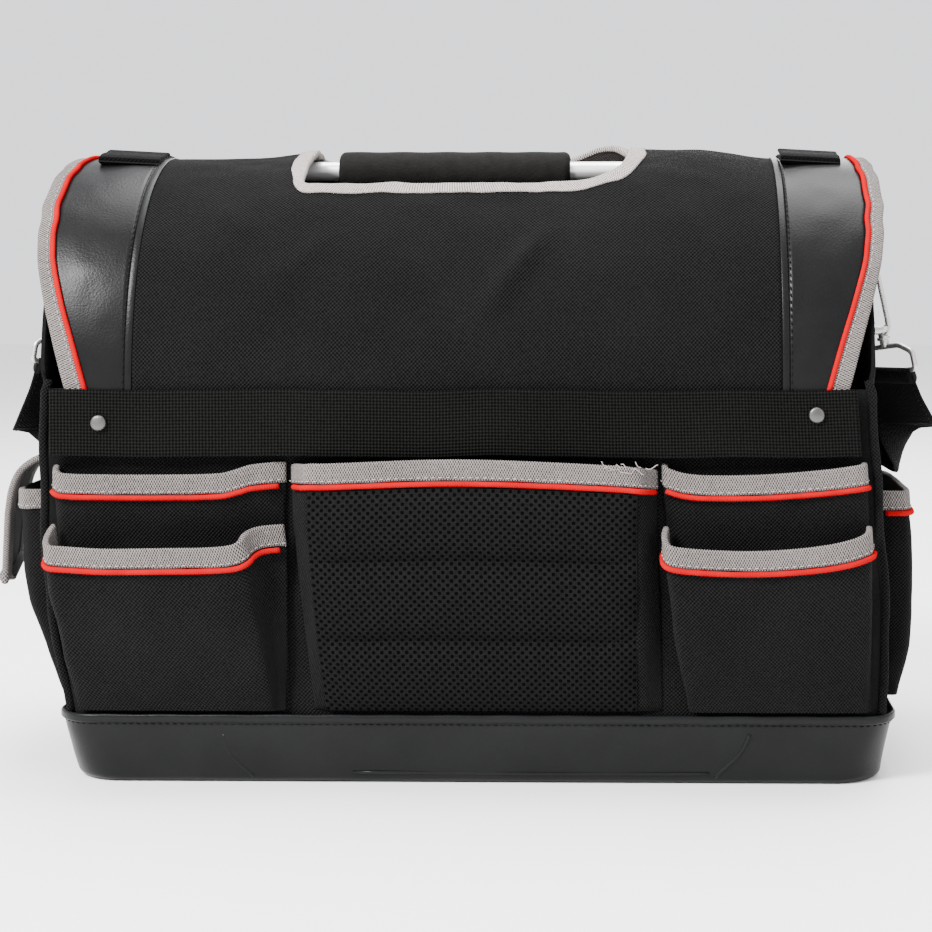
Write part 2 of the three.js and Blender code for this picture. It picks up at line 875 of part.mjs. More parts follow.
function makeNearPockets() {
  const upper = {
    heights: flatHeights,
    bottom: pocketBottom,
    rim: upperRim,
    rise: upperRise,
    stand: upperStand,
    footInset: upperFootInset,
    place: onNearWall(() => 0),
  };
  const lower = {
    heights: bellowsHeights,
    bottom: pocketBottom,
    rim: lowerRim,
    rise: lowerRise,
    stand: lowerStand,
    footInset: lowerFootInset,
    place: onNearWall((z) => upperFace(z) + gap),
  };
  const sides = [
    {
      name: "left",
      left: -bodyCornerPlace - outerFootLeft,
      right: centreLeft - neighbourGap,
      flat: bellowsPlan.flat,
      bellows: bellowsPlan.left,
    },
    {
      name: "right",
      left: centreRight + neighbourGap,
      right: bodyCornerPlace + outerFootRight,
      flat: mirrored(bellowsPlan.flat),
      bellows: mirrored(bellowsPlan.left),
    },
  ];
  for (const { name, left, right, flat, bellows } of sides) {
    makePocket("upper_" + name, { ...upper, left, right, plan: flat });
    makePocket("lower_" + name, { ...lower, left, right, plan: bellows });
  }
  makePocket("centre", centrePocket);
}

// Padded front of the centre pocket: ribs between lines of quilting
function makePad() {
  const pocket = withNormals(centrePocket);
  const height = pocket.rim - pocket.bottom;
  const top = 1 - (tapeWidth + 2 * pipingRadius + 3 * gap) / height;
  const rowsPerRib = 5;
  const rows = padRibs * rowsPerRib;
  const columns = [3, 4, 5, 6, 7, 8];
  const outer = [];
  const inner = [];
  for (let r = 0; r <= rows; r++) {
    const share = (top * r) / rows;
    const puff = Math.sin((Math.PI * (r % rowsPerRib)) / rowsPerRib) ** 0.7;
    const full = padSeamThickness + (padThickness - padSeamThickness) * puff;
    inner.push(columns.map((column) => pocketAt(pocket, column, share, gap)));
    outer.push(
      columns.map((column, i) => {
        const atSide = i === 0 || i === columns.length - 1;
        return pocketAt(pocket, column, share, gap + (atSide ? padSeamThickness : full));
      }),
    );
  }
  add("centre_pad", sheet(outer, inner), spacerMesh);
}

// End pockets and the flap over the left one
function makeEndPockets() {
  for (const [side, name] of [
    [-1, "left"],
    [1, "right"],
  ]) {
    const height = endRim - pocketBottom;
    const pocket = {
      plan: bellowsPlan.end,
      heights: endHeights,
      shares: [0, (fullSectionHeight - pocketBottom) / height, (leanTop - pocketBottom) / height, 1],
      left: endNear,
      right: endFar,
      bottom: pocketBottom,
      rim: endRim,
      rise: 0,
      stand: endStand,
      footInset: endFootInset,
      place: (along, out, z) => new THREE.Vector3(side * (bodyAt(z)[0] + gap + out), along, z),
    };
    makePocket(name + "_end", pocket, side > 0);
  }
}

// Columns: share of the flap's reach out from the wall, share of its drop below the hinge
const flapTable = [
  [0, 0],
  [0.36, 0.02],
  [0.66, 0.12],
  [0.8, 0.26],
  [0.86, 0.42],
  [0.93, 0.7],
  [1, 1],
];

function flapGrid(ys, offset) {
  const line = flapTable.map(([out, down]) => [flapReach * out, flapHinge - flapDrop * down]);
  return line.map(([out, z], i) => {
    const [x0, z0] = line[Math.max(i - 1, 0)];
    const [x1, z1] = line[Math.min(i + 1, line.length - 1)];
    const length = Math.hypot(x1 - x0, z1 - z0);
    const x = bodyHalfLength + gap + out - (offset * (z1 - z0)) / length;
    const height = z + (offset * (x1 - x0)) / length;
    return ys.map((y) => new THREE.Vector3(-x, y, height));
  });
}

function makeFlap() {
  const ends = [flapNear, flapFar];
  add("left_end_flap", sheet(flapGrid(ends, flapThickness), flapGrid(ends, 0)), canvas);
  const outside = flapThickness + gap + tapeThickness;
  const inside = flapThickness + gap;
  const strip = (ys, rows) => {
    const pick = (grid) => grid.slice(rows);
    return toSolid(sheet(pick(flapGrid(ys, outside)), pick(flapGrid(ys, inside))));
  };
  const near = strip([flapNear, flapNear + tapeWidth], 1);
  const far = strip([flapFar - tapeWidth, flapFar], 1);
  const foot = strip([flapNear + tapeWidth / 2, flapFar - tapeWidth / 2], flapTable.length - 2);
  add("left_flap_binding", fromSolid(near.add(far).add(foot)), greyTape);
}

// Hardware in the plane across the end wall: local X runs out from the wall, local Z up, 0 at the ring's bar
function ringShape() {
  const outer = new THREE.Shape();
  const inner = new THREE.Path();
  const wire = ringWire;
  const half = ringHalfWidth;
  const round = ringDrop * 0.9;
  const draw = (path, w, top, drop, r) => {
    path.moveTo(-w, top);
    path.lineTo(-w, -drop + r);
    path.absarc(-w + r, -drop + r, r, Math.PI, 1.5 * Math.PI, false);
    path.absarc(w - r, -drop + r, r, 1.5 * Math.PI, 2 * Math.PI, false);
    path.lineTo(w, top);
    path.closePath();
  };
  draw(outer, half, wire / 2, ringDrop + wire / 2, round * 0.8);
  draw(inner, half - wire, -wire / 2, ringDrop - wire / 2, round * 0.8 - wire);
  outer.holes.push(inner);
  return outer;
}

// An outline in X-Z pushed along Y, centred on Y = 0
function plate(shape, depth, segments = 4) {
  const body = new THREE.ExtrudeGeometry(shape, { depth, bevelEnabled: false, curveSegments: segments });
  return closed(body.translate(0, 0, -depth / 2).rotateX(Math.PI / 2));
}

function polygon(points) {
  return new THREE.Shape(points.map(([x, y]) => new THREE.Vector2(x, y)));
}

const hookTop = -ringDrop + ringWire / 2 + gap + hookWire;
const hookFoot = hookTop - hookLength;
const gateBottom = hookFoot + gateFoot;
const gateTop = gateBottom + gateLength;
const eyeTop = hookFoot - swivelLength;

function makeHook() {
  const w = hookHalfWidth;
  const t = hookWire;
  const c = hookChamfer;
  const outline = polygon([
    [-w + c, hookFoot],
    [w - c, hookFoot],
    [w, hookFoot + hookWaist],
    [w, hookTop - hookShoulder],
    [w - hookShoulder, hookTop],
    [-w + hookShoulder, hookTop],
    [-w, hookTop - hookShoulder],
    [-w, gateTop + gap],
    [-w + t, gateTop + gap],
    [-w + t, hookTop - t - c],
    [-w + t + c, hookTop - t],
    [w - t - c, hookTop - t],
    [w - t, hookTop - t - c],
    [w - t, gateBottom - gateSeat / 2],
    [-w + t + 2 * gap, gateBottom - gateSeat],
    [-w, gateBottom - gateSeat],
    [-w, hookFoot + hookWaist],
  ]);
  const hook = toSolid(plate(outline, hookDepth));
  const post = new THREE.CylinderGeometry(swivelRadius, swivelRadius, swivelLength + 2 * swivelSink, 10);
  post.rotateX(Math.PI / 2).translate(0, 0, hookFoot - swivelLength / 2);
  const outerHalf = eyeHalfWidth + eyeWire / 2;
  const outerFoot = eyeTop - eyeDrop - eyeWire / 2;
  const eye = polygon([
    [-outerHalf * eyeShoulder, eyeTop],
    [-outerHalf, eyeTop - eyeWire * 2],
    [-outerHalf, outerFoot + eyeChamfer],
    [-outerHalf + eyeChamfer, outerFoot],
    [outerHalf - eyeChamfer, outerFoot],
    [outerHalf, outerFoot + eyeChamfer],
    [outerHalf, eyeTop - eyeWire * 2],
    [outerHalf * eyeShoulder, eyeTop],
  ]);
  const innerHalf = outerHalf - eyeWire;
  const hole = polygon([
    [-innerHalf * eyeShoulder, eyeTop - eyeWire],
    [innerHalf * eyeShoulder, eyeTop - eyeWire],
    [innerHalf, eyeTop - eyeWire * 2.4],
    [innerHalf, outerFoot + eyeWire],
    [-innerHalf, outerFoot + eyeWire],
    [-innerHalf, eyeTop - eyeWire * 2.4],
  ]);
  eye.holes.push(hole);
  const loop = toSolid(closed(plate(eye, eyeWire).rotateZ(-eyeYaw)));
  return hook.add(toSolid(closed(post))).add(loop);
}

function makeGate() {
  const inner = -hookHalfWidth + hookWire;
  const round = hookWire / 2.5;
  const foot = gateBottom - gateSeat + gap;
  const outline = polygon([
    [-hookHalfWidth, foot],
    [inner - round, foot],
    [inner, foot + round],
    [inner, gateTop],
    [-hookHalfWidth, gateTop],
  ]);
  return toSolid(plate(outline, hookDepth * 0.7));
}

// The webbing tab: a patch on the wall and a loop round the ring's bar
function makeTab() {
  const wire = ringWire / 2 + gap;
  const t = tabThickness;
  const outer = wire + t;
  const wallFace = -ringStandoff + gap;
  const shape = polygon([
    [wallFace, 0],
    [wallFace + 0.5, -outer * 0.7],
    [-outer * 0.45, -outer],
    [outer * 0.6, -outer],
    [outer, -outer * 0.4],
    [outer, outer * 0.5],
    [outer * 0.4, outer * 1.4],
    [wallFace + 2 * t, tabLength * 0.4],
    [wallFace + 2 * t, tabLength],
    [wallFace, tabLength],
  ]);
  const hole = new THREE.Path();
  hole.absarc(0, 0, wire * Math.SQRT2, 0, 2 * Math.PI, false);
  shape.holes.push(hole);
  return plate(shape, tabWidth, 6);
}

const ringStandoff = gap + tabThickness + gap + (ringWire / 2) * Math.SQRT2 + gap;

function makeHardware() {
  const ring = toSolid(closed(plate(ringShape(), ringWire).rotateZ(Math.PI / 2)));
  for (const [name, { side, bar, tilt }] of Object.entries(hardware)) {
    const place = (geometry, turn) => {
      const placed = geometry.clone().rotateY(-turn);
      placed.translate(bodyHalfLength + ringStandoff, 0, bar);
      return closed(placed.scale(side, 1, 1));
    };
    add("ring_tab_" + name, place(makeTab(), 0), webbing);
    add("d_ring_" + name, place(fromSolid(ring), tilt), steel);
    add("snap_hook_" + name, place(fromSolid(makeHook()), tilt), steel);
    add("hook_gate_" + name, place(fromSolid(makeGate()), tilt), steel);
  }
}

// Shoulder strap: a ribbon from one hook's eye, out in a fold, round the far corner and across the far side.
// Columns, in shares of the strap's width from the eye's bar: out, back and down;
// then the direction across the strap: out, back and up
const strapFold = {
  left: [
    [0.2, 0.1, 0.4, 0.64, -0.74, 0.06],
    [0.6, 0.35, 0.95, 0.62, -0.6, 0.3],
    [0.66, 0.8, 1.2, 0.5, -0.4, 0.7],
    [0.45, 1.2, 1.3, 0.2, -0.1, 0.95],
    [0.2, 1.7, 1.32, 0, 0, 1],
  ],
  right: [
    [0.14, 0.1, 0.38, 0.64, -0.74, 0.06],
    [0.4, 0.4, 0.8, 0.62, -0.6, 0.3],
    [0.42, 0.85, 1, 0.5, -0.4, 0.7],
    [0.25, 1.25, 1.1, 0.2, -0.1, 0.95],
    [0.05, 1.7, 1.13, 0, 0, 1],
  ],
};

// Stations of the strap's one half, from the eye to the middle of the far side
function strapStations({ side, bar, tilt }, fold) {
  const foot = eyeTop - eyeDrop - eyeWire / 2;
  const eyeX = bodyHalfLength + ringStandoff - foot * Math.sin(tilt);
  const eyeZ = bar + foot * Math.cos(tilt);
  const stations = [];
  const station = (x, y, z, across) => {
    const turned = across.clone();
    turned.x *= side;
    stations.push({ at: new THREE.Vector3(side * x, y, z), across: turned.normalize() });
  };
  const run = Math.cos(eyeYaw);
  const alongBar = new THREE.Vector3(run * Math.cos(tilt), -Math.sin(eyeYaw), run * Math.sin(tilt));
  station(eyeX, 0, eyeZ - 2 * gap, alongBar);
  for (const [out, back, down, acrossOut, acrossBack, acrossUp] of fold) {
    const across = new THREE.Vector3(acrossOut, acrossBack, acrossUp);
    station(eyeX + strapWidth * out, strapWidth * back, eyeZ - strapWidth * down, across);
  }
  const up = new THREE.Vector3(0, 0, 1);
  const [cx, cy] = [bodyHalfLength + strapStandoff - strapCornerRound, strapFar - strapCornerRound];
  station(bodyHalfLength + strapStandoff, cy - strapWidth / 3, strapHeight, up);
  for (let i = 0; i <= 4; i++) {
    const turn = (Math.PI / 8) * i;
    station(cx + strapCornerRound * Math.cos(turn), cy + strapCornerRound * Math.sin(turn), strapHeight, up);
  }
  for (const share of [0.8, 0.55, 0.28, 0]) {
    station(cx * share, strapFar, strapHeight - strapSag * (1 - share * share), up);
  }
  return stations;
}

function makeStrap() {
  const right = strapStations(hardware.right, strapFold.right);
  const left = strapStations(hardware.left, strapFold.left).slice(0, -1).reverse();
  const stations = [...right, ...left];
  const outer = [];
  const inner = [];
  stations.forEach(({ at, across }, i) => {
    const before = stations[Math.max(i - 1, 0)].at;
    const after = stations[Math.min(i + 1, stations.length - 1)].at;
    const normal = after.clone().sub(before).cross(across).normalize();
    const edge = (end, face) => {
      const point = at.clone().addScaledVector(across, (end * strapWidth) / 2);
      return point.addScaledVector(normal, (face * strapThickness) / 2);
    };
    outer.push([edge(-1, 1), edge(1, 1)]);
    inner.push([edge(-1, -1), edge(1, -1)]);
  });
  add("shoulder_strap", sheet(outer, inner), webbing);
}

makeBase();
makeWalls();
makeHandle();
makeCover();
makeClosingStraps();
makeBand();
makeNearPockets();
makePad();
makeEndPockets();
makeFlap();
makeHardware();
makeStrap();

export default bag;
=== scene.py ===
import bisect
import math

import bmesh
import bpy
from bpy.props import FloatProperty, FloatVectorProperty, PointerProperty
from mathutils import Matrix, Vector, noise


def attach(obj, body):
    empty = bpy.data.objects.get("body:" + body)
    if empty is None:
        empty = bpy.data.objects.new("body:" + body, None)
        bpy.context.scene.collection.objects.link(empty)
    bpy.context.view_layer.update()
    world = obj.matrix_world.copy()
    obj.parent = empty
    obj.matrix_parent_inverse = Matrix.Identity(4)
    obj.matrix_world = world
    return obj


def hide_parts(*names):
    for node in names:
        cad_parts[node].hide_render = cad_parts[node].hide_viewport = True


bl_info = {
    "name": "Tool Bag",
    "version": (1, 0, 0),
    "blender": (4, 5, 0),
    "location": "View3D > Sidebar > Tool Bag",
    "description": "Builds a soft domed tool bag round its packed frame",
    "category": "Object",
}

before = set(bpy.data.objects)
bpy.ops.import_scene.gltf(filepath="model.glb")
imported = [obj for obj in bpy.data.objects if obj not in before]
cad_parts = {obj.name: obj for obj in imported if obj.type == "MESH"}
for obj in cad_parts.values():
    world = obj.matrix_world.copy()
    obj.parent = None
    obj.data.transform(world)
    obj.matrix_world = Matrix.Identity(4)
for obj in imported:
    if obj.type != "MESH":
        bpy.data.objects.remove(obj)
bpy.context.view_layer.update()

# Sizes in millimetres

# The moulded tray
TRAY_LENGTH = 242
TRAY_DEPTH = 122
TRAY_HEIGHT = 38
TRAY_CORNER = 36
RIM_CORNER = 22
TRAY_TAPER = 6
TRAY_WALL = 3.3
FOOT_ROUND = 4.5
BOARD_TOP = 5.9

# The canvas body, which leans to the left above the tray
BODY_LENGTH = 243
BODY_DEPTH = 120
BODY_CORNER = 12
CORNER_SHARE = 0.07
WALL_TOP = 228
FULL_SECTION = 100
BODY_LEAN = -8
LEAN_TOP = 150
SHOULDER_PULL = -5
SHOULDER_REACH = 230
CROWN_DROP = 7.4
CROWN_SPACE = 2.4

# The domed cover, measured round its arch from the edge behind the band
COVER_RISE = 141
COVER_DEPTH = 121.6
COVER_TUCK = 33
COVER_ARC = 413
COVER_HANG = 53
COVER_LENGTH = COVER_TUCK + COVER_ARC + COVER_HANG
COVER_SEAM = 190.5
COVER_EDGE = 242
CREST_SAG = 4.2
# Soft creases from (x, distance) to (x, distance), with rise and width
CREASES = [
    (55, 132, 9, 67, 3.4, 7), (-70, 128, -118, 84, 1.4, 9),
    (128, 150, 160, 96, 1.4, 9), (-150, 150, -120, 118, 1.1, 7),
]
SLOT = {"centre": -0.3, "half": 98.7, "near": -66, "far": 38, "corner": 4, "small": 15, "large": 36}
CLOSING_STRAPS = {"left": (-210.5, 2.0), "right": (212, 2.4)}
CLOSING_END = 39
CLOSING_WIDTH = 37

# Trimmings
TAPE = 10.5
EDGE_TAPE = 8.4
FOLD_START = 0.44
FOLD_WIDTH = 0.12
PIPE = 1.6
GAP = 0.3
STITCH_WIDTH = 0.35
STITCH_HEIGHT = 0.3
STITCH_LIFT = 0.15

# The handle
TUBE = 12
TUBE_FOOT = 110
TUBE_TOP = 358
TUBE_BEND = 24
GRIP_RADIUS = 12.3
GRIP_BORE = 6.3
GRIP_HALF = 72.5
GRIP_ROUND = 4
GRIP_SHIFT = -13

# The band and the pockets
BAND_LEFT = -235
BAND_RIGHT = 231.5
BAND_WIDTH = 38
BAND_SPACE = 3.1
RIVETS = {"left": (-206.5, 0), "right": (207, 5)}
RIVET_DROP = 19
POCKET_BOTTOM = 43.5
POCKET_KNEE = 0.83
POCKETS_APART = 3.6
UPPER_RIM = 179
UPPER_RISE = 7
UPPER_STAND = 10
UPPER_INSET = 6
LOWER_RIM = 139.5
LOWER_RISE = 11
LOWER_STAND = 20
LOWER_INSET = 8
LOWER_LEFT_FLARE = 0.11
CENTRE_RIM = 183.5
CENTRE_RISE = 5
CENTRE_STAND = 17
CENTRE_INSET = 5
CENTRE_LEFT = -96.5
CENTRE_RIGHT = 113.5
END_RIM = 165
END_INSET = 6
END_NEAR = -80
END_FAR = 40
END_STAND = {-1: 25, 1: 20.5}
FLAP_NEAR = -66
FLAP_FAR = 32
FLAP_TOP = 184
FLAP_DROP = 73.6
FLAP_REACH = 46
FLAP_REACH_NEAR = 37
FLAP_REACH_FAR = 60

# The carrying hardware, with heights from the ring's bar down, and the strap's route
RING_STANDOFF = 5.05
RING_HALF = 21.2
RING_DROP = 27
TAB_WIDTH = 36
TAB_LENGTH = 30
WIRE = 3.6
HARDWARE = {
    "left": {"side": -1, "bar": 323, "tilt": math.radians(10)},
    "right": {"side": 1, "bar": 317, "tilt": math.radians(12)},
}
HOOK_HALF = 4.6
HOOK_TOP = -22.1
HOOK_FOOT = -64.1
GATE_BOTTOM = -53.1
GATE_TOP = -33.1
EYE_TOP = -69.1
EYE_DROP = 18
EYE_HALF = 22
EYE_YAW = math.radians(52)
STRAP_WIDTH = 38
STRAP_THICKNESS = 2.2
STRAP_SEAM = 16.5
STRAP_HEIGHT = 188
STRAP_SAG = 20
STRAP_OUT = 12.5
STRAP_FAR = 136
STRAP_BEND = 22

ALONG = Vector((1, 0, 0))
BACK = Vector((0, 1, 0))
UP = Vector((0, 0, 1))

LOOKS = {}


def clamp(value, low=0.0, high=1.0):
    return min(max(value, low), high)


def mix(a, b, share):
    return a + (b - a) * share


def ease(share):
    share = clamp(share)
    return share * share * (3 - 2 * share)


def hump(value, middle, width):
    return math.exp(-(((value - middle) / width) ** 2))


def spline(table, key):
    """The columns of a table after its first, read at a key on a smooth line through its rows."""
    keys = [row[0] for row in table]
    key = clamp(key, keys[0], keys[-1])
    i = clamp(bisect.bisect_right(keys, key) - 1, 0, len(keys) - 2)
    width = keys[i + 1] - keys[i]
    t = (key - keys[i]) / width
    result = []
    for column in range(1, len(table[0])):
        y = [row[column] for row in table]
        before = max(i - 1, 0)
        after = min(i + 2, len(keys) - 1)
        start = (y[i + 1] - y[before]) / (keys[i + 1] - keys[before]) * width
        end = (y[after] - y[i]) / (keys[after] - keys[i]) * width
        rise = y[i + 1] - y[i]
        result.append(y[i] + t * start + t * t * (3 * rise - 2 * start - end) + t**3 * (start + end - 2 * rise))
    return result


def lean_at(x, z):
    """How far the soft body leans along X at a place: all of it above the tray, and the right shoulder once more."""
    body = BODY_LEAN * clamp((z - TRAY_HEIGHT) / (LEAN_TOP - TRAY_HEIGHT))
    return body + SHOULDER_PULL * clamp(x / SHOULDER_REACH) * clamp((z - LEAN_TOP) / (WALL_TOP - LEAN_TOP))


def leaned(p):
    return Vector((p.x + lean_at(p.x, p.z), p.y, p.z))


def rumple(p, scale, amount, seed=0.0):
    """A soft unevenness of cloth at a point, in millimetres."""
    spot = Vector((p.x / scale + seed, p.y / scale - seed, p.z / scale))
    return amount * (noise.noise(spot) + 0.4 * noise.noise(spot * 2.3))


# Materials


class Finish:
    """A material whose nodes are added one by one and linked as they are made."""

    def __init__(self, name, colour, roughness, **constants):
        self.material = bpy.data.materials.new(name)
        self.material.use_nodes = True
        self.tree = self.material.node_tree
        self.tree.nodes.clear()
        self.shader = self.add("BsdfPrincipled", inputs={"Roughness": roughness})
        self.shader.inputs["Base Color"].default_value = (*colour, 1)
        for name_of, value in constants.items():
            self.shader.inputs[name_of.replace("_", " ")].default_value = value
        self.colour = colour
        self.add("OutputMaterial", inputs={"Surface": self.shader.outputs[0]})
        self.normal = None

    def add(self, kind, inputs=None, **settings):
        node = self.tree.nodes.new("ShaderNode" + kind)
        for name, value in settings.items():
            setattr(node, name, value)
        for key, value in (inputs or {}).items():
            if isinstance(value, bpy.types.NodeSocket):
                self.tree.links.new(value, node.inputs[key])
            else:
                node.inputs[key].default_value = value
        return node

    def math(self, operation, first, second=0.0):
        return self.add("Math", {0: first, 1: second}, operation=operation).outputs[0]

    def uv(self):
        split = self.add("SeparateXYZ", {0: self.add("UVMap", uv_map="UVMap").outputs[0]})
        return split.outputs[0], split.outputs[1]

    def place(self):
        return self.add("TexCoord").outputs["Object"]

    def noise(self, scale, detail):
        return self.add("TexNoise", {"Vector": self.place(), "Scale": scale, "Detail": detail}).outputs["Fac"]

    def wave(self, coordinate, pitch):
        return self.math("SINE", self.math("MULTIPLY", coordinate, 2 * math.pi / pitch))

    def bump(self, height, strength, distance):
        inputs = {"Height": height, "Strength": strength, "Distance": distance}
        if self.normal:
            inputs["Normal"] = self.normal
        self.normal = self.add("Bump", inputs).outputs[0]
        self.tree.links.new(self.normal, self.shader.inputs["Normal"])

    def tint(self, factor, dark, light):
        ramp = self.add("ValToRGB", {"Fac": factor})
        for element, share in zip(ramp.color_ramp.elements, (dark, light)):
            element.color = (*[clamp(c * share) for c in self.colour], 1)
        self.tree.links.new(ramp.outputs[0], self.shader.inputs["Base Color"])

    def vary(self, factor, low, high):
        spread = self.add("MapRange", {"Value": factor, "To Min": low, "To Max": high})
        self.tree.links.new(spread.outputs[0], self.shader.inputs["Roughness"])


def woven(
    name, colour, pitch, depth, slot,
    light=1.9, dark=0.4, roughness=0.9, rib=1.0, weave=0.3, specular=0.1, crossing="MULTIPLY",
):
    """Cloth of crossed threads on the piece's own UV map, which is in millimetres."""
    look = Finish(name, colour, roughness, Sheen_Weight=0.01, Sheen_Roughness=0.5, Specular_IOR_Level=specular)
    u, v = look.uv()
    threads = look.math(crossing, look.wave(u, pitch), look.wave(v, pitch * rib))
    slub = look.noise(650, 2.0)
    look.bump(look.math("ADD", threads, slub), 0.6, depth)
    tone = look.math("ADD", look.math("MULTIPLY", threads, weave), look.math("MULTIPLY", slub, 0.55))
    worn = look.math("ADD", tone, look.math("MULTIPLY", look.noise(16, 5.0), 0.4))
    look.tint(worn, dark, light)
    LOOKS[name] = (look.material, slot)


def pierced(name, colour, pitch, slot):
    """Knitted spacer mesh: a honeycomb of small dark holes between lighter threads."""
    look = Finish(name, colour, 0.85, Specular_IOR_Level=0.03)
    u, v = look.uv()
    net = look.math("MULTIPLY", look.wave(u, pitch * 1.7), look.wave(v, pitch * 1.6))
    body = look.add("MapRange", {"Value": net, "From Min": 0.5, "From Max": 0.15}).outputs[0]
    look.bump(body, 0.9, 0.0006)
    look.tint(look.math("MULTIPLY", body, look.math("ADD", look.noise(500, 2.0), 0.3)), 0.02, 4.2)
    LOOKS[name] = (look.material, slot)


def make_looks(props):
    colours = props.colours
    woven("canvas", colours.canvas, 2.25, 0.0008, "canvas", light=3.9, dark=0.0, weave=0.5, specular=0.03)
    woven("lining", [c * 0.8 for c in colours.canvas], 1.4, 0.0003, "canvas")
    woven("webbing", colours.webbing, 1.6, 0.0006, "webbing", light=3.2, dark=0.1, rib=1.6, specular=0.06)
    woven(
        "waffle", colours.webbing, props.waffle_pitch * 1000, 0.0008, "webbing",
        light=5.8, dark=0.0, specular=0.03, crossing="ADD",
    )
    pierced("mesh", colours.mesh, props.mesh_pitch * 1000, "spacer_mesh")
    for name, share, weave in (("tape", 1, 0.62), ("tape_light", 2.2, 0.75)):
        shade = [c * share for c in colours.tape]
        woven(name, shade, 1.5, 0.0005, "grey_tape", light=2.1, dark=0.06, rib=1.6, weave=weave, specular=0.12)
    woven("thread_black", colours.canvas, 0.5, 0.0001, "canvas", roughness=0.6)
    woven("thread_grey", [c * 2.4 for c in colours.tape], 0.5, 0.0001, "grey_tape", roughness=0.6)

    for name, colour, slot in (
        ("leatherette", colours.leatherette, "leatherette"),
        ("base_leatherette", colours.base, "moulded_base"),
    ):
        look = Finish(name, colour, 0.35, Specular_IOR_Level=0.1)
        cells = look.add("TexVoronoi", {"Vector": look.place(), "Scale": 850.0}, feature="SMOOTH_F1")
        pebble = look.math("ADD", cells.outputs["Distance"], look.math("MULTIPLY", look.noise(900, 4.0), 0.6))
        look.bump(pebble, 0.3, 0.00022)
        scuff = look.noise(30, 8.0)
        look.vary(scuff, 0.24, 0.42)
        look.tint(look.math("ADD", look.math("MULTIPLY", scuff, 0.6), look.math("MULTIPLY", pebble, 0.4)), 0.5, 2.2)
        LOOKS[name] = (look.material, slot)

    pipe = Finish("piping", colours.piping, 0.8, Specular_IOR_Level=0.0)
    u, _ = pipe.uv()
    pipe.bump(pipe.math("ADD", pipe.wave(u, 1.3), pipe.noise(700, 2.0)), 0.25, 0.0002)
    pipe.tint(pipe.noise(70, 4.0), 0.7, 1.2)
    LOOKS["piping"] = (pipe.material, "red_piping")

    foam = Finish("foam", (0.0062, 0.0058, 0.0054), 0.9, Specular_IOR_Level=0.08)
    pores = foam.add("TexVoronoi", {"Vector": foam.place(), "Scale": 700.0}).outputs["Distance"]
    foam.bump(foam.math("ADD", pores, foam.noise(120, 5.0)), 0.4, 0.0005)
    foam.tint(foam.noise(200, 5.0), 0.6, 1.7)
    LOOKS["foam"] = (foam.material, "foam")

    for name, colour, slot, low, high in (
        ("tube", (0.85, 0.84, 0.82), "bright_tube", 0.26, 0.42),
        ("steel", (0.52, 0.51, 0.49), "steel", 0.28, 0.48),
        ("rivet_steel", (0.1, 0.096, 0.092), "steel", 0.35, 0.55),
    ):
        metal = Finish(name, colour, 0.2, Metallic={"tube": 0.7, "steel": 0.85}.get(name, 1.0))
        metal.vary(metal.noise(90, 6.0), low, high)
        metal.bump(metal.noise(600, 3.0), 0.05, 0.0002)
        metal.tint(metal.noise(25, 5.0), 0.8, 1.1)
        LOOKS[name] = (metal.material, slot)


# Making pieces


def finish_piece(name, bm, look, replaces=(), thickness=0.0, body="bag"):
    """Turns a mesh in millimetres into a named piece in metres that rides on its body."""
    bmesh.ops.scale(bm, vec=(0.001, 0.001, 0.001), verts=bm.verts)
    mesh = bpy.data.meshes.new(name)
    bm.to_mesh(mesh)
    bm.free()
    mesh.polygons.foreach_set("use_smooth", [True] * len(mesh.polygons))
    piece = bpy.data.objects.new(name, mesh)
    bpy.context.scene.collection.objects.link(piece)
    material, slot = LOOKS[look]
    mesh.materials.append(material)
    if thickness:
        wall = piece.modifiers.new("thickness", "SOLIDIFY")
        wall.thickness = thickness / 1000
        wall.offset = -1
    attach(piece, body)
    if replaces:
        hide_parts(*replaces)
    return piece


def grid(shape, steps, size, closed=False, flip=False):
    """A grid whose points are put in place by shape(u, v), with its UV map in millimetres."""
    bm = bmesh.new()
    layer = bm.loops.layers.uv.new("UVMap")
    bmesh.ops.create_grid(bm, x_segments=steps[0], y_segments=steps[1], size=1, calc_uvs=True)
    for face in bm.faces:
        for loop in face.loops:
            u, v = (loop.vert.co.x + 1) / 2, (loop.vert.co.y + 1) / 2
            loop[layer].uv = (u * size[0], v * size[1])
    for vert in bm.verts:
        vert.co = shape((vert.co.x + 1) / 2, (vert.co.y + 1) / 2)
    if closed:
        bmesh.ops.remove_doubles(bm, verts=bm.verts, dist=0.001)
    if flip:
        bmesh.ops.reverse_faces(bm, faces=bm.faces)
    return bm


def cloth(name, shape, steps, size, look, replaces, thickness, flip=False, closed=False):
    """One sheet of fabric."""
    return finish_piece(name, grid(shape, steps, size, closed, flip), look, replaces, thickness)


def stations_of(points, up=None, ring=False):
    """Places along a line, each with the directions across it: (place, side, up)."""
    last = len(points) - 1
    result = []
    guide = up
    for i, point in enumerate(points):
        if ring:
            along = points[(i + 1) % (last + 1)] - points[i - 1]
        else:
            along = points[min(i + 1, last)] - points[max(i - 1, 0)]
        along.normalize()
        if guide is None:
            guide = UP if abs(along.z) < 0.8 else BACK
        across = guide.cross(along).normalized()
        above = along.cross(across)
        if up is None:
            guide = above
        result.append((point, across, above))
    return result


def section(width, height, roundness=1.0, steps=4):
    """A closed rounded outline, from a full circle or oval to a flat strap with rounded edges."""
    radius = min(width, height) / 2 * roundness
    outline = []
    for quarter, (sx, sy) in enumerate(((1, 1), (-1, 1), (-1, -1), (1, -1))):
        for i in range(steps):
            turn = math.pi / 2 * (quarter + (i + 0.5) / steps)
            x = sx * (width / 2 - radius) + radius * math.cos(turn)
            outline.append((x, sy * (height / 2 - radius) + radius * math.sin(turn)))
    return outline


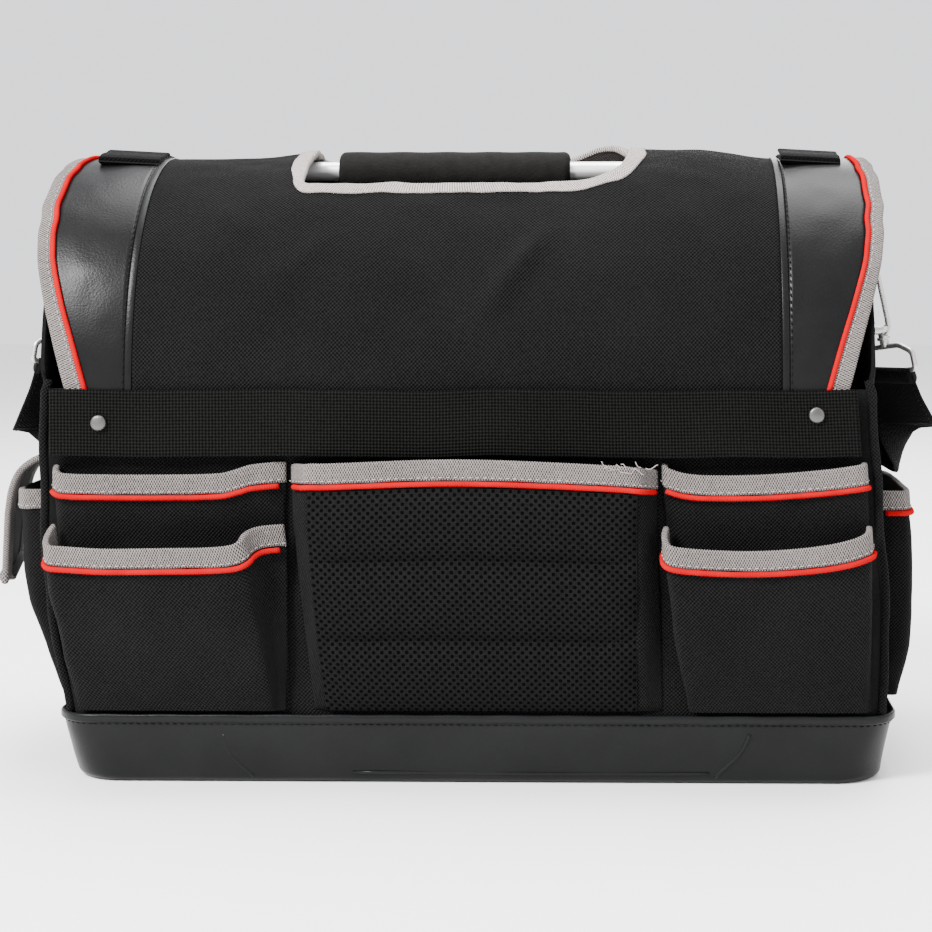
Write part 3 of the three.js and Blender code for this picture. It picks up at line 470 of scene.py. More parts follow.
def swept(stations, outline, ring=False):
    """A body swept through stations with a closed outline, capped at its ends unless it is a ring."""
    line = list(stations) + ([stations[0]] if ring else [])
    loop = list(outline) + [outline[0]]
    length = [0.0]
    for a, b in zip(line, line[1:]):
        length.append(length[-1] + (b[0] - a[0]).length)
    girth = [0.0]
    for a, b in zip(loop, loop[1:]):
        girth.append(girth[-1] + math.hypot(b[0] - a[0], b[1] - a[1]))
    rows, columns = len(line) - 1, len(loop) - 1
    bm = bmesh.new()
    layer = bm.loops.layers.uv.new("UVMap")
    bmesh.ops.create_grid(bm, x_segments=rows, y_segments=columns, size=1)
    spots = {v: (round((v.co.x + 1) / 2 * rows), round((v.co.y + 1) / 2 * columns)) for v in bm.verts}
    for face in bm.faces:
        for corner in face.loops:
            i, j = spots[corner.vert]
            corner[layer].uv = (length[i], girth[j])
    for vert, (i, j) in spots.items():
        place, side, up = line[i]
        vert.co = place + side * loop[j][0] + up * loop[j][1]
    bmesh.ops.remove_doubles(bm, verts=bm.verts, dist=0.0005)
    if not ring:
        bmesh.ops.holes_fill(bm, edges=[e for e in bm.edges if e.is_boundary], sides=0)
    bmesh.ops.recalc_face_normals(bm, faces=bm.faces)
    return bm


def rod(points, outline, up=None, ring=False):
    """A body swept along a line of points."""
    return swept(stations_of(points, up, ring), outline, ring)


def turned(name, profile, matrix, look, replaces=(), steps=24):
    """A body of revolution about Z: profile rows are (radius, height)."""
    bm = bmesh.new()
    verts = [bm.verts.new((r, 0, z)) for r, z in profile]
    edges = [bm.edges.new(pair) for pair in zip(verts, verts[1:])]
    bmesh.ops.spin(
        bm, geom=verts + edges, axis=(0, 0, 1), cent=(0, 0, 0), angle=2 * math.pi, steps=steps, use_merge=True
    )
    bmesh.ops.remove_doubles(bm, verts=bm.verts, dist=0.001)
    bmesh.ops.recalc_face_normals(bm, faces=bm.faces)
    bmesh.ops.transform(bm, matrix=matrix, verts=bm.verts)
    return finish_piece(name, bm, look, replaces)


def joined(name, pieces, look, replaces=()):
    """Several meshes as one piece."""
    whole = bmesh.new()
    whole.loops.layers.uv.new("UVMap")
    for bm in pieces:
        part = bpy.data.meshes.new("part")
        bm.to_mesh(part)
        bm.free()
        whole.from_mesh(part)
        bpy.data.meshes.remove(part)
    return finish_piece(name, whole, look, replaces)


def stitch_row(line, props):
    """Thread stitches along a line of (place, outward direction)."""
    pitch = props.stitch_pitch * 1000
    length = props.stitch_length * 1000
    bm = bmesh.new()
    bm.loops.layers.uv.new("UVMap")
    done = 0.0
    travelled = 0.0
    for (a, out), (b, _) in zip(line, line[1:]):
        step = (b - a).length
        while done <= travelled + step and step > 0:
            share = (done - travelled) / step
            along = (b - a).normalized()
            across = out.cross(along).normalized()
            turn = Matrix((along, across, along.cross(across))).transposed().to_4x4()
            place = Matrix.Translation(a.lerp(b, share) + out * STITCH_LIFT)
            size = Matrix.Diagonal((length / 2, STITCH_WIDTH, STITCH_HEIGHT, 1))
            bmesh.ops.create_icosphere(bm, subdivisions=1, radius=1, matrix=place @ turn @ size)
            done += pitch
        travelled += step
    return bm


def folded(v, front, back):
    """Tape folded over an edge, at a share v of its width: (distance from the edge, how far over it, offset)."""
    turn = math.pi * clamp((v - FOLD_START) / FOLD_WIDTH)
    after = FOLD_START + FOLD_WIDTH
    down = TAPE * (1 - v / FOLD_START) if v < FOLD_START else TAPE * max(v - after, 0) / FOLD_START
    return down, math.sin(turn), mix(front, back, (1 - math.cos(turn)) / 2)


# Shapes of the bag


def ring_point(left, right, near, far, radii, t):
    """A point of a rectangle with rounded corners, at a share t round it from the right near corner."""
    corners = [Vector(spot) for spot in ((right, near), (right, far), (left, far), (left, near))]
    ways = [corners[k - 3] - corners[k] for k in range(4)]
    spans = []
    for k in range(4):
        spans += [math.pi / 2 * radii[k], ways[k].length - radii[k] - radii[k - 3]]
    spot = (t % 1.0) * sum(spans)
    for i, span in enumerate(spans):
        if spot <= span or i == 7:
            break
        spot -= span
    k = i // 2
    before, onward = ways[k - 1].normalized(), ways[k].normalized()
    if i % 2:
        return corners[k] + onward * (radii[k] + spot)
    turn = spot / radii[k]
    return corners[k] + radii[k] * (onward * (1 - math.cos(turn)) - before * (1 - math.sin(turn)))


def tray_ring(t, inset, z):
    """A point round the tray's plan at t from 0 to 1, from the near side's left end."""
    corner = mix(TRAY_CORNER, RIM_CORNER, clamp(z / TRAY_HEIGHT))
    a, b, r = TRAY_LENGTH - inset, TRAY_DEPTH - inset, max(corner - inset, 2)
    near_run = (a - r) / (2 * (a + b - 2 * r) + math.pi * r)
    return Vector((*ring_point(-a, a, -b, b, [r] * 4, t - near_run), z))


def tray_inset(z):
    return TRAY_TAPER * (1 - z / TRAY_HEIGHT)


def body_at(z):
    """Half length, half depth and corner radius of the walls at a height."""
    foot = TRAY_WALL if z > TRAY_HEIGHT else TRAY_WALL + tray_inset(z)
    share = clamp((z - TRAY_HEIGHT) / (FULL_SECTION - TRAY_HEIGHT))
    return (
        mix(TRAY_LENGTH - foot, BODY_LENGTH, share),
        mix(TRAY_DEPTH - foot, BODY_DEPTH, share),
        mix(mix(TRAY_CORNER, RIM_CORNER, clamp(z / TRAY_HEIGHT)) - foot, BODY_CORNER, share),
    )


def wall_plan(u, along, out, radius):
    """A wall's plan from one corner's middle to the next: (place along it, distance out)."""
    if CORNER_SHARE <= u <= 1 - CORNER_SHARE:
        share = (u - CORNER_SHARE) / (1 - 2 * CORNER_SHARE)
        return mix(-(along - radius), along - radius, share), out
    side = -1 if u < 0.5 else 1
    turn = math.radians(45) * (1 - min(u, 1 - u) / CORNER_SHARE)
    return side * (along - radius + radius * math.sin(turn)), out - radius + radius * math.cos(turn)


def cover_turn(s):
    """The angle round the dome and the drop below its foot, at a distance up from the near lower edge."""
    turn = math.pi * clamp((s - COVER_TUCK) / COVER_ARC)
    if s < COVER_TUCK:
        return turn, COVER_TUCK - s
    return turn, max(s - COVER_TUCK - COVER_ARC, 0)


def crease_at(x, s):
    """Height of the soft creases of the cover at a place on it."""
    height = 0.0
    for x0, s0, x1, s1, rise, width in CREASES:
        length = math.hypot(x1 - x0, s1 - s0)
        along = ((x - x0) * (x1 - x0) + (s - s0) * (s1 - s0)) / length
        across = ((x - x0) * (s1 - s0) - (s - s0) * (x1 - x0)) / length
        height += rise * math.exp(-((across / width) ** 2)) * ease(1.2 - abs(2 * along / length - 1))
    return height


def cover_point(x, s, offset):
    """A point of the cover; the crest is uneven and the cloth between the end walls is slack."""
    turn, drop = cover_turn(s)
    out = Vector((-math.cos(turn) * COVER_RISE, math.sin(turn) * COVER_DEPTH)).normalized()
    crest = math.sin(turn) ** 4
    swell = crest * (2.4 * hump(x, 100, 50) - CREST_SAG * (ease((-x - 85) / 60) + ease((x - 140) / 50)))
    slack = math.sin(turn) ** 2 * clamp(1 - abs(x) / COVER_EDGE)
    spot = Vector((x, 300 * math.cos(turn), 0))
    offset += swell + slack * (rumple(spot, 70, 3.2) + rumple(spot, 26, 0.9, 9.0))
    offset += crease_at(x, s)
    y = -COVER_DEPTH * math.cos(turn) + out.x * offset
    z = WALL_TOP - drop + COVER_RISE * math.sin(turn) + out.y * offset
    curl = 11 * hump(x, 86, 22) * hump(y, SLOT["far"] + 3, 12)
    return leaned(Vector((x, y, z + curl)))


EDGE_TABLE = [
    [0, 0.89], [9, 0.917], [19.5, 0.951], [29, 0.979], [40, 0.996],
    [60, 1], [90, 0.985], [120, 1], [150, 0.995], [180, 0.985],
]


def edge_at(s):
    """Where the piping runs: a smooth line that wavers a little where the cover bends over the shoulders."""
    waver = 1.5 * hump(s, COVER_TUCK + 130, 60) * noise.noise(Vector((s / 14, 3, 7)))
    return COVER_EDGE * spline(EDGE_TABLE, math.degrees(cover_turn(s)[0]))[0] + waver


def tape_at(s):
    """Width of the edge tape that shows: the whole tape at the near foot, less where it rolls over the shoulder."""
    return mix(11, EDGE_TAPE, ease((s - COVER_TUCK) / 80))


def cover_line(x_of, offset, start=0, end=COVER_LENGTH, steps=150):
    """Stations along the cover at a place on X for each distance: (place, across, outward)."""
    result = []
    for i in range(steps + 1):
        s = mix(start, end, i / steps)
        x = x_of(s)
        here = cover_point(x, s, offset)
        out = (cover_point(x, s, offset + 1) - here).normalized()
        result.append((here, ALONG, out))
    return result


def slot_outline(t, grow):
    """The handle slot's edge in plan, t from 0 to 1 counter-clockwise."""
    left, right = SLOT["centre"] - SLOT["half"] - grow, SLOT["centre"] + SLOT["half"] + grow
    near, far = SLOT["near"] - grow, SLOT["far"] + grow
    small, large = SLOT["small"] + grow, SLOT["large"] + grow
    return ring_point(left, right, near, far, [large, small, small, SLOT["corner"] + grow], t)


def s_of(y):
    """Distance up the cover of a place on Y."""
    return COVER_TUCK + COVER_ARC * math.acos(clamp(-y / COVER_DEPTH, -1, 1)) / math.pi


# Pocket plans: (share of the width, share of the stand-off, share of the rim's rise) round each pocket's folds
LEFT_PLAN = [
    [0, 0.04, 1], [-0.012, 0.3, 0.7], [-0.011, 0.78, 0.28], [0.012, 0.98, 0.1], [0.06, 1.03, 0.05],
    [0.25, 1.1, -0.06], [0.5, 1.12, -0.02], [0.7, 1.08, 0.02], [0.8, 1.02, 0.16], [0.835, 0.9, 0.42],
    [0.852, 0.6, 0.7], [0.885, 0.34, 0.9], [0.94, 0.18, 0.98], [1, 0.04, 1],
]
RIGHT_PLAN = [
    [0, 0.04, 0.95], [-0.01, 0.3, 0.75], [-0.01, 0.72, 0.4], [0.008, 0.95, 0.2], [0.05, 1.02, 0.08],
    [0.2, 1.08, -0.05], [0.4, 1.1, -0.1], [0.6, 1.08, 0], [0.78, 1.02, 0.22], [0.9, 0.92, 0.5],
    [0.975, 0.7, 0.78], [0.992, 0.4, 0.9], [1, 0.04, 1],
]
FLAT_PLAN = [
    [0, 0.04, 0.7], [0.004, 0.5, 0.45], [0.04, 0.86, 0.1], [0.2, 1, 0], [0.5, 1.05, 0], [0.73, 1, 0.12],
    [0.8, 0.82, 0.45], [0.85, 0.58, 0.74], [0.93, 0.36, 0.9], [1, 0.04, 1],
]
FLAT_RIGHT_PLAN = [
    [0, 0.04, 0.9], [0.015, 0.4, 0.6], [0.1, 0.66, 0.15], [0.22, 0.9, 0], [0.5, 1.05, 0.1], [0.8, 1, 0.5],
    [0.96, 0.86, 0.85], [0.996, 0.5, 0.95], [1, 0.04, 1],
]
CENTRE_PLAN = [
    [0, 0.04, 0.2], [0.022, 0.45, 0.3], [0.043, 0.86, 0.4], [0.056, 0.98, 0.5], [0.1, 1, 0.5], [0.4, 1.04, 1],
    [0.6, 1.04, 0.9], [0.9, 1, 0.3], [0.944, 0.98, 0.1], [0.957, 0.86, 0], [0.978, 0.45, -0.2], [1, 0.04, -0.4],
]
END_PLAN = [
    [0, 0.04, 0], [-0.012, 0.4, 0], [-0.005, 0.8, 0], [0.05, 0.98, 0.2], [0.3, 1.04, 0.5], [0.7, 1.04, 0.5],
    [0.95, 0.98, 0.2], [1.005, 0.8, 0], [1.012, 0.4, 0], [1, 0.04, 0],
]
# How far a pocket stands off and how much of its inset it has: (share of the height, stand-off, inset)
BELLOWS_HEIGHTS = [[0, 0.1, 1], [0.3, 0.62, 0.55], [0.62, 0.92, 0.2], [0.85, 1, 0], [1, 1, 0]]
FLAT_HEIGHTS = [[0, 0.3, 1], [0.5, 0.34, 0.5], [0.72, 0.45, 0.2], [0.88, 0.9, 0], [1, 1, 0]]
END_HEIGHTS = [[0, 0.5, 1], [0.35, 0.86, 0.4], [0.6, 1, 0.1], [0.9, 1, 0], [1, 1, 0]]


class Pocket:
    """A sewn-on pocket: a plan of folds, and how far it stands out at each height."""

    def __init__(self, plan, heights, left, right, rim, rise, stand, inset, place):
        self.heights, self.rise, self.stand, self.inset = heights, rise, stand, inset
        self.left, self.width, self.place = left, right - left, place
        self.plan = []
        length = 0.0
        for i, (along, out, lift) in enumerate(plan):
            if i:
                length += math.hypot((along - plan[i - 1][0]) * self.width, (out - plan[i - 1][1]) * stand)
            self.plan.append([length, along, out, lift])
        self.length = length
        self.height = rim - POCKET_BOTTOM
        self.flare = 0.0

    def at(self, s, share, offset=0.0):
        along, out, lift = spline(self.plan, s)
        knee = POCKET_KNEE + self.flare * (1 - share)
        if along < POCKET_KNEE:
            along = along * knee / POCKET_KNEE
        else:
            along = 1 - (1 - along) * (1 - knee) / (1 - POCKET_KNEE)
        before, after = spline(self.plan, s - 1), spline(self.plan, s + 1)
        across = Vector(((after[0] - before[0]) * self.width, (after[1] - before[1]) * self.stand)).normalized()
        z = POCKET_BOTTOM + (self.height + self.rise * lift) * share
        reach, foot = spline(self.heights, min(share, 1))
        inset = self.inset * foot
        x = self.left + inset + (self.width - 2 * inset) * along - across.y * offset
        depth = max(out * self.stand * reach + across.x * offset, out * self.stand * 0.01)
        return leaned(self.place(x, depth, z))

    def out(self, s, share):
        return (self.at(s, share, 1.5) - self.at(s, share, 0)).normalized()


def upper_face(z):
    """How far the upper pockets stand off at a height, where the lower ones are sewn over them."""
    share = clamp((z - POCKET_BOTTOM) / (UPPER_RIM - POCKET_BOTTOM))
    return UPPER_STAND * 1.05 * spline(FLAT_HEIGHTS, share)[0]


def on_near(stand_off):
    """Places on the near wall, at a further stand-off that depends on the height."""
    return lambda x, out, z: Vector((x, -(body_at(z)[1] + GAP + stand_off(z) + out), z))


def near_pockets():
    corner = BODY_LENGTH - BODY_CORNER
    left = (-corner - 2, CENTRE_LEFT - POCKETS_APART)
    right = (CENTRE_RIGHT + POCKETS_APART, corner + 3)
    low = on_near(lambda z: upper_face(z) + GAP)
    flat = on_near(lambda z: 0)
    upper = (UPPER_RIM, UPPER_RISE, UPPER_STAND, UPPER_INSET, flat)
    lower = (LOWER_RIM, LOWER_RISE, LOWER_STAND, LOWER_INSET, low)
    centre = (CENTRE_RIM, CENTRE_RISE, CENTRE_STAND, CENTRE_INSET, flat)
    pockets = {
        "upper_left": Pocket(FLAT_PLAN, FLAT_HEIGHTS, *left, *upper),
        "upper_right": Pocket(FLAT_RIGHT_PLAN, FLAT_HEIGHTS, *right, *upper),
        "lower_left": Pocket(LEFT_PLAN, BELLOWS_HEIGHTS, *left, *lower),
        "lower_right": Pocket(RIGHT_PLAN, BELLOWS_HEIGHTS, *right, *lower),
        "centre": Pocket(CENTRE_PLAN, BELLOWS_HEIGHTS, CENTRE_LEFT, CENTRE_RIGHT, *centre),
    }
    pockets["lower_left"].flare = LOWER_LEFT_FLARE
    return pockets


def end_pocket(side):
    def place(along, out, z):
        return Vector((side * (body_at(z)[0] + GAP + out), along, z))

    return Pocket(END_PLAN, END_HEIGHTS, END_NEAR, END_FAR, END_RIM, 0, END_STAND[side], END_INSET, place)


def dress_pocket(name, pocket, props, facing=1, piped=True):
    """A pocket's panel, the tape folded over its rim, the piping under the tape and its stitches."""
    columns = int(pocket.length / 2.2)
    seed = len(name) * 1.7

    def panel(u, v):
        s = u * pocket.length
        here = pocket.at(s, v)
        calm = ease(v / 0.15) * ease((1 - v) / 0.12) * ease(u / 0.04) * ease((1 - u) / 0.04)
        return pocket.at(s, v, calm * rumple(here, 34, 1.9, seed))

    cloth(
        name + "_panel", panel, (columns, 42), (pocket.length, pocket.height), "canvas",
        [name + "_pocket"], 1.6, flip=facing < 0,
    )

    def wrap(u, v):
        s = u * pocket.length
        here = pocket.at(s, 1)
        wavy = rumple(here, 18, 0.5, seed)
        down, over, offset = folded(v, 0.9, -2.6)
        point = pocket.at(s, 1 - (down + wavy * (v < 0.1)) / pocket.height, offset + rumple(here, 25, 0.3, seed))
        return point + 0.9 * over * UP

    cloth(
        name + "_tape", wrap, (columns, 26), (pocket.length, 2 * TAPE), "tape",
        [name + "_binding"], 0.8, flip=facing < 0,
    )
    seam = []
    for i in range(columns + 1):
        s = pocket.length * i / columns
        share = 1 - (TAPE - 1.6) / pocket.height
        seam.append((pocket.at(s, share, 1.0), pocket.out(s, share)))
    finish_piece(name + "_stitches", stitch_row(seam, props), "thread_grey")
    if piped:
        share = 1 - (TAPE + PIPE + 0.2) / pocket.height
        line = [pocket.at(pocket.length * i / columns, share, 1.3) for i in range(2, columns - 1)]
        finish_piece(name + "_cord", rod(line, section(2 * PIPE, 2 * PIPE)), "piping", [name + "_piping"])


# Operators, one for each group of pieces


class TOOLBAG_OT_stage(bpy.types.Operator):
    """Pale floor, soft studio light and the camera"""

    bl_idname = "toolbag.stage"
    bl_label = "Stage"

    def execute(self, context):
        scene = bpy.context.scene
        world = bpy.data.worlds.new("soft_room")
        world.use_nodes = True
        sky = world.node_tree.nodes["Background"].inputs
        sky["Color"].default_value = (0.95, 0.96, 1.0, 1)
        sky["Strength"].default_value = 1.7
        scene.world = world
        bm = bmesh.new()
        bmesh.ops.create_grid(bm, x_segments=1, y_segments=1, size=6)
        mesh = bpy.data.meshes.new("floor")
        bm.to_mesh(mesh)
        bm.free()
        floor = bpy.data.objects.new("floor", mesh)
        scene.collection.objects.link(floor)
        pale = Finish("pale_floor", (0.86, 0.86, 0.85), 0.6)
        pale.tint(pale.noise(2, 2.0), 0.97, 1.03)
        mesh.materials.append(pale.material)
        for name, place, energy, size in (
            ("key_light", (-1.4, -1.6, 1.9), 240, 0.8),
            ("fill_light", (1.7, -1.4, 1.1), 14, 1.2),
            ("top_light", (0.1, 0.4, 2.2), 110, 1.6),
            ("back_light", (0.4, 2.0, 1.4), 32, 1.4),
        ):
            lamp = bpy.data.lights.new(name, "AREA")
            lamp.energy = energy
            lamp.size = size
            light = bpy.data.objects.new(name, lamp)
            light.location = place
            aim = Vector((0, 0, 0.18)) - light.location
            light.rotation_euler = aim.to_track_quat("-Z", "Y").to_euler()
            scene.collection.objects.link(light)
        camera = bpy.data.objects.new("camera", bpy.data.cameras.new("camera"))
        camera.data.sensor_width = 36
        camera.data.lens = 78.2
        camera.data.shift_x = -0.14
        camera.data.shift_y = -0.17
        camera.location = (0.0911, -1.2767, 0.3016)
        camera.rotation_euler = (math.radians(90 - 1.32), 0, math.radians(1.04))
        scene.collection.objects.link(camera)
        scene.camera = camera
        return {"FINISHED"}


class TOOLBAG_OT_base(bpy.types.Operator):
    """The moulded tray, its rolled edge and the floor board"""

    bl_idname = "toolbag.base"
    bl_label = "Base"

    def execute(self, context):
        props = context.scene.tool_bag
        profile = [(9, 0.3)]
        for i in range(7):
            turn = math.radians(15 * i)
            profile.append((FOOT_ROUND * (1 - math.sin(turn)), FOOT_ROUND * (1 - math.cos(turn))))
        profile += [(0, z) for z in range(8, TRAY_HEIGHT, 4)]
        profile += [(0, TRAY_HEIGHT), (1.4, TRAY_HEIGHT + 0.8), (2.8, TRAY_HEIGHT)]
        profile += [(2.9, z) for z in (30, 20, 10)]

        def shell(u, v):
            inset, z = profile[round(v * (len(profile) - 1))]
            point = tray_ring(u, inset + tray_inset(z), z)
            calm = clamp((z - 1) / 8) * clamp((TRAY_HEIGHT - z) / 8)
            heading = Vector((point.x / 3, point.y, 0)).normalized()
            return point + heading * calm * rumple(point, 45, 1.3)

        bm = grid(shell, (360, len(profile) - 1), (1400, 90), closed=True)
        bmesh.ops.holes_fill(bm, edges=[e for e in bm.edges if e.is_boundary and e.verts[0].co.z < 2], sides=0)
        finish_piece("tray_shell", bm, "base_leatherette", ["base_tray"])
        rim = [tray_ring(i / 300, tray_inset(37) - 0.5, 38.6 + 0.12 * math.sin(i * 0.9)) for i in range(300)]
        edge = rod(rim, section(2.6, 5.0), up=UP, ring=True)
        finish_piece("rolled_edge", edge, "base_leatherette", ["base_welt"])
        seam = []
        for i in range(601):
            place = tray_ring(i / 600, tray_inset(35) - 0.1, 35)
            ahead = tray_ring(i / 600 + 0.001, tray_inset(35) - 0.1, 35)
            seam.append((place, (ahead - place).cross(UP).normalized()))
        finish_piece("tray_stitches", stitch_row(seam, props), "thread_black")
        inset = TRAY_WALL + tray_inset(6) + 0.6

        def floor(u, v):
            return tray_ring(u, inset, BOARD_TOP) * (1 - v) + Vector((0, 0, BOARD_TOP)) * v

        board = grid(floor, (160, 12), (1400, 110), closed=True)
        bmesh.ops.recalc_face_normals(board, faces=board.faces)
        finish_piece("floor_board", board, "lining", ["bag_floor"], 2.4)
        ridges = []
        for points in (
            [(-145, 29), (-141, 17), (-128, 4)],
            [(158, 30), (152, 18), (138, 4)],
            [(-71, 6.6), (30, 6.2), (135, 6.6)],
        ):
            line = []
            for i in range(17):
                x, z = spline([[0, *points[0]], [1, *points[1]], [2, *points[2]]], i / 8)
                line.append(Vector((x, -(TRAY_DEPTH - tray_inset(z)) + 0.2, z)))
            ridges.append(rod(line, section(2.2, 1.7)))
        joined("tray_seams", ridges, "base_leatherette")
        return {"FINISHED"}


class TOOLBAG_OT_walls(bpy.types.Operator):
    """The four canvas walls and the sewn ridges up their corners"""

    bl_idname = "toolbag.walls"
    bl_label = "Walls"

    def execute(self, context):
        for name, axis, side in (
            ("near_wall", 0, -1), ("far_wall", 0, 1), ("left_end_wall", 1, -1), ("right_end_wall", 1, 1),
        ):
            top = WALL_TOP if axis == 0 else WALL_TOP + COVER_RISE - CROWN_DROP

            def wall(u, v):
                z = mix(6.2, top, v)
                length, depth, corner = body_at(z)
                along, out = (length, depth) if axis == 0 else (depth, length)
                if z > WALL_TOP:
                    height = 0.0
                    for _ in range(5):
                        height = (z - WALL_TOP) / (COVER_RISE - CROWN_SPACE - CREST_SAG * height**4)
                    height = clamp(height)
                    reach = COVER_DEPTH - CROWN_SPACE - CREST_SAG * height**4
                    along = reach * math.sqrt(max(1 - height * height, 0.0008))
                    corner = mix(corner, 3, clamp((z - WALL_TOP) / 12))
                    corner = min(corner, along * 0.9)
                a, b = wall_plan(u, along, out, corner)
                calm = ease((z - 45) / 25) * ease((top - z) / 12) * ease(u / 0.08) * ease((1 - u) / 0.08)
                spot = Vector((a, b * side, z))
                b += calm * (rumple(spot, 55, 2.6, 3.0) - 1.0)
                point = Vector((a, side * b, z)) if axis == 0 else Vector((side * b, a, z))
                return leaned(point)

            steps = (110, 60) if axis == 0 else (64, 90)
            size = (500, 225) if axis == 0 else (250, 370)
            flip = (axis == 0 and side > 0) or (axis == 1 and side < 0)
            cloth(name + "_cloth", wall, steps, size, "canvas", [name], 2.2, flip=flip)
        ridges = []
        for sx in (-1, 1):
            for sy in (-1, 1):
                line = []
                for i in range(61):
                    z = mix(41, WALL_TOP + 5, i / 60)
                    length, depth, corner = body_at(z)
                    reach = corner * math.sqrt(0.5) + mix(1.0, -1.2, ease((z - WALL_TOP + 3) / 8))
                    x, y = length - corner + reach, depth - corner + reach
                    wave = 0.5 * math.sin(z * 0.11 + sx)
                    line.append(leaned(Vector((sx * (x + wave), sy * (y + 0.3 * wave), z))))
                ridges.append(rod(line, section(5.2, 4.6), up=BACK))
        joined("corner_ridges", ridges, "canvas")
        return {"FINISHED"}


class TOOLBAG_OT_handle(bpy.types.Operator):
    """The bent tube and its foam grip"""

    bl_idname = "toolbag.handle"
    bl_label = "Handle"

    def execute(self, context):
        leg, bend = BODY_LENGTH - 3 - GAP - TUBE / 2, TUBE_BEND
        right = [Vector((leg, 0, mix(TUBE_FOOT, LEAN_TOP, i / 6))) for i in range(7)]
        right += [Vector((leg, 0, mix(LEAN_TOP, TUBE_TOP - bend, i / 12))) for i in range(1, 12)]
        for i in range(17):
            turn = math.pi / 2 * i / 16
            right.append(Vector((leg - bend + bend * math.cos(turn), 0, TUBE_TOP - bend + bend * math.sin(turn))))
        left = [Vector((-p.x, p.y, p.z)) for p in reversed(right)]
        points = [leaned(p) for p in right + left]
        tube = rod(points, section(TUBE, TUBE, steps=8), up=BACK)
        finish_piece("handle_tube", tube, "tube", ["handle_frame"])
        half = []
        for i in range(7):
            turn = math.radians(15 * i)
            radius = GRIP_RADIUS - GRIP_ROUND * (1 - math.sin(turn))
            half.append((radius, -GRIP_HALF + GRIP_ROUND * (1 - math.cos(turn))))
        body = [(GRIP_RADIUS + 0.15 * math.sin(k * 0.9), -68 + k * 4) for k in range(1, 34)]
        profile = [(GRIP_BORE, -GRIP_HALF)] + half + body + [(r, -z) for r, z in reversed(half)]
        profile += [(GRIP_BORE, GRIP_HALF), (GRIP_BORE, -GRIP_HALF)]
        place = Matrix.Translation((GRIP_SHIFT + BODY_LEAN, 0, TUBE_TOP)) @ Matrix.Rotation(math.pi / 2, 4, "Y")
        grip = turned("foam_grip", profile, place, "foam", ["handle_grip"], steps=40)
        return {"FINISHED"}


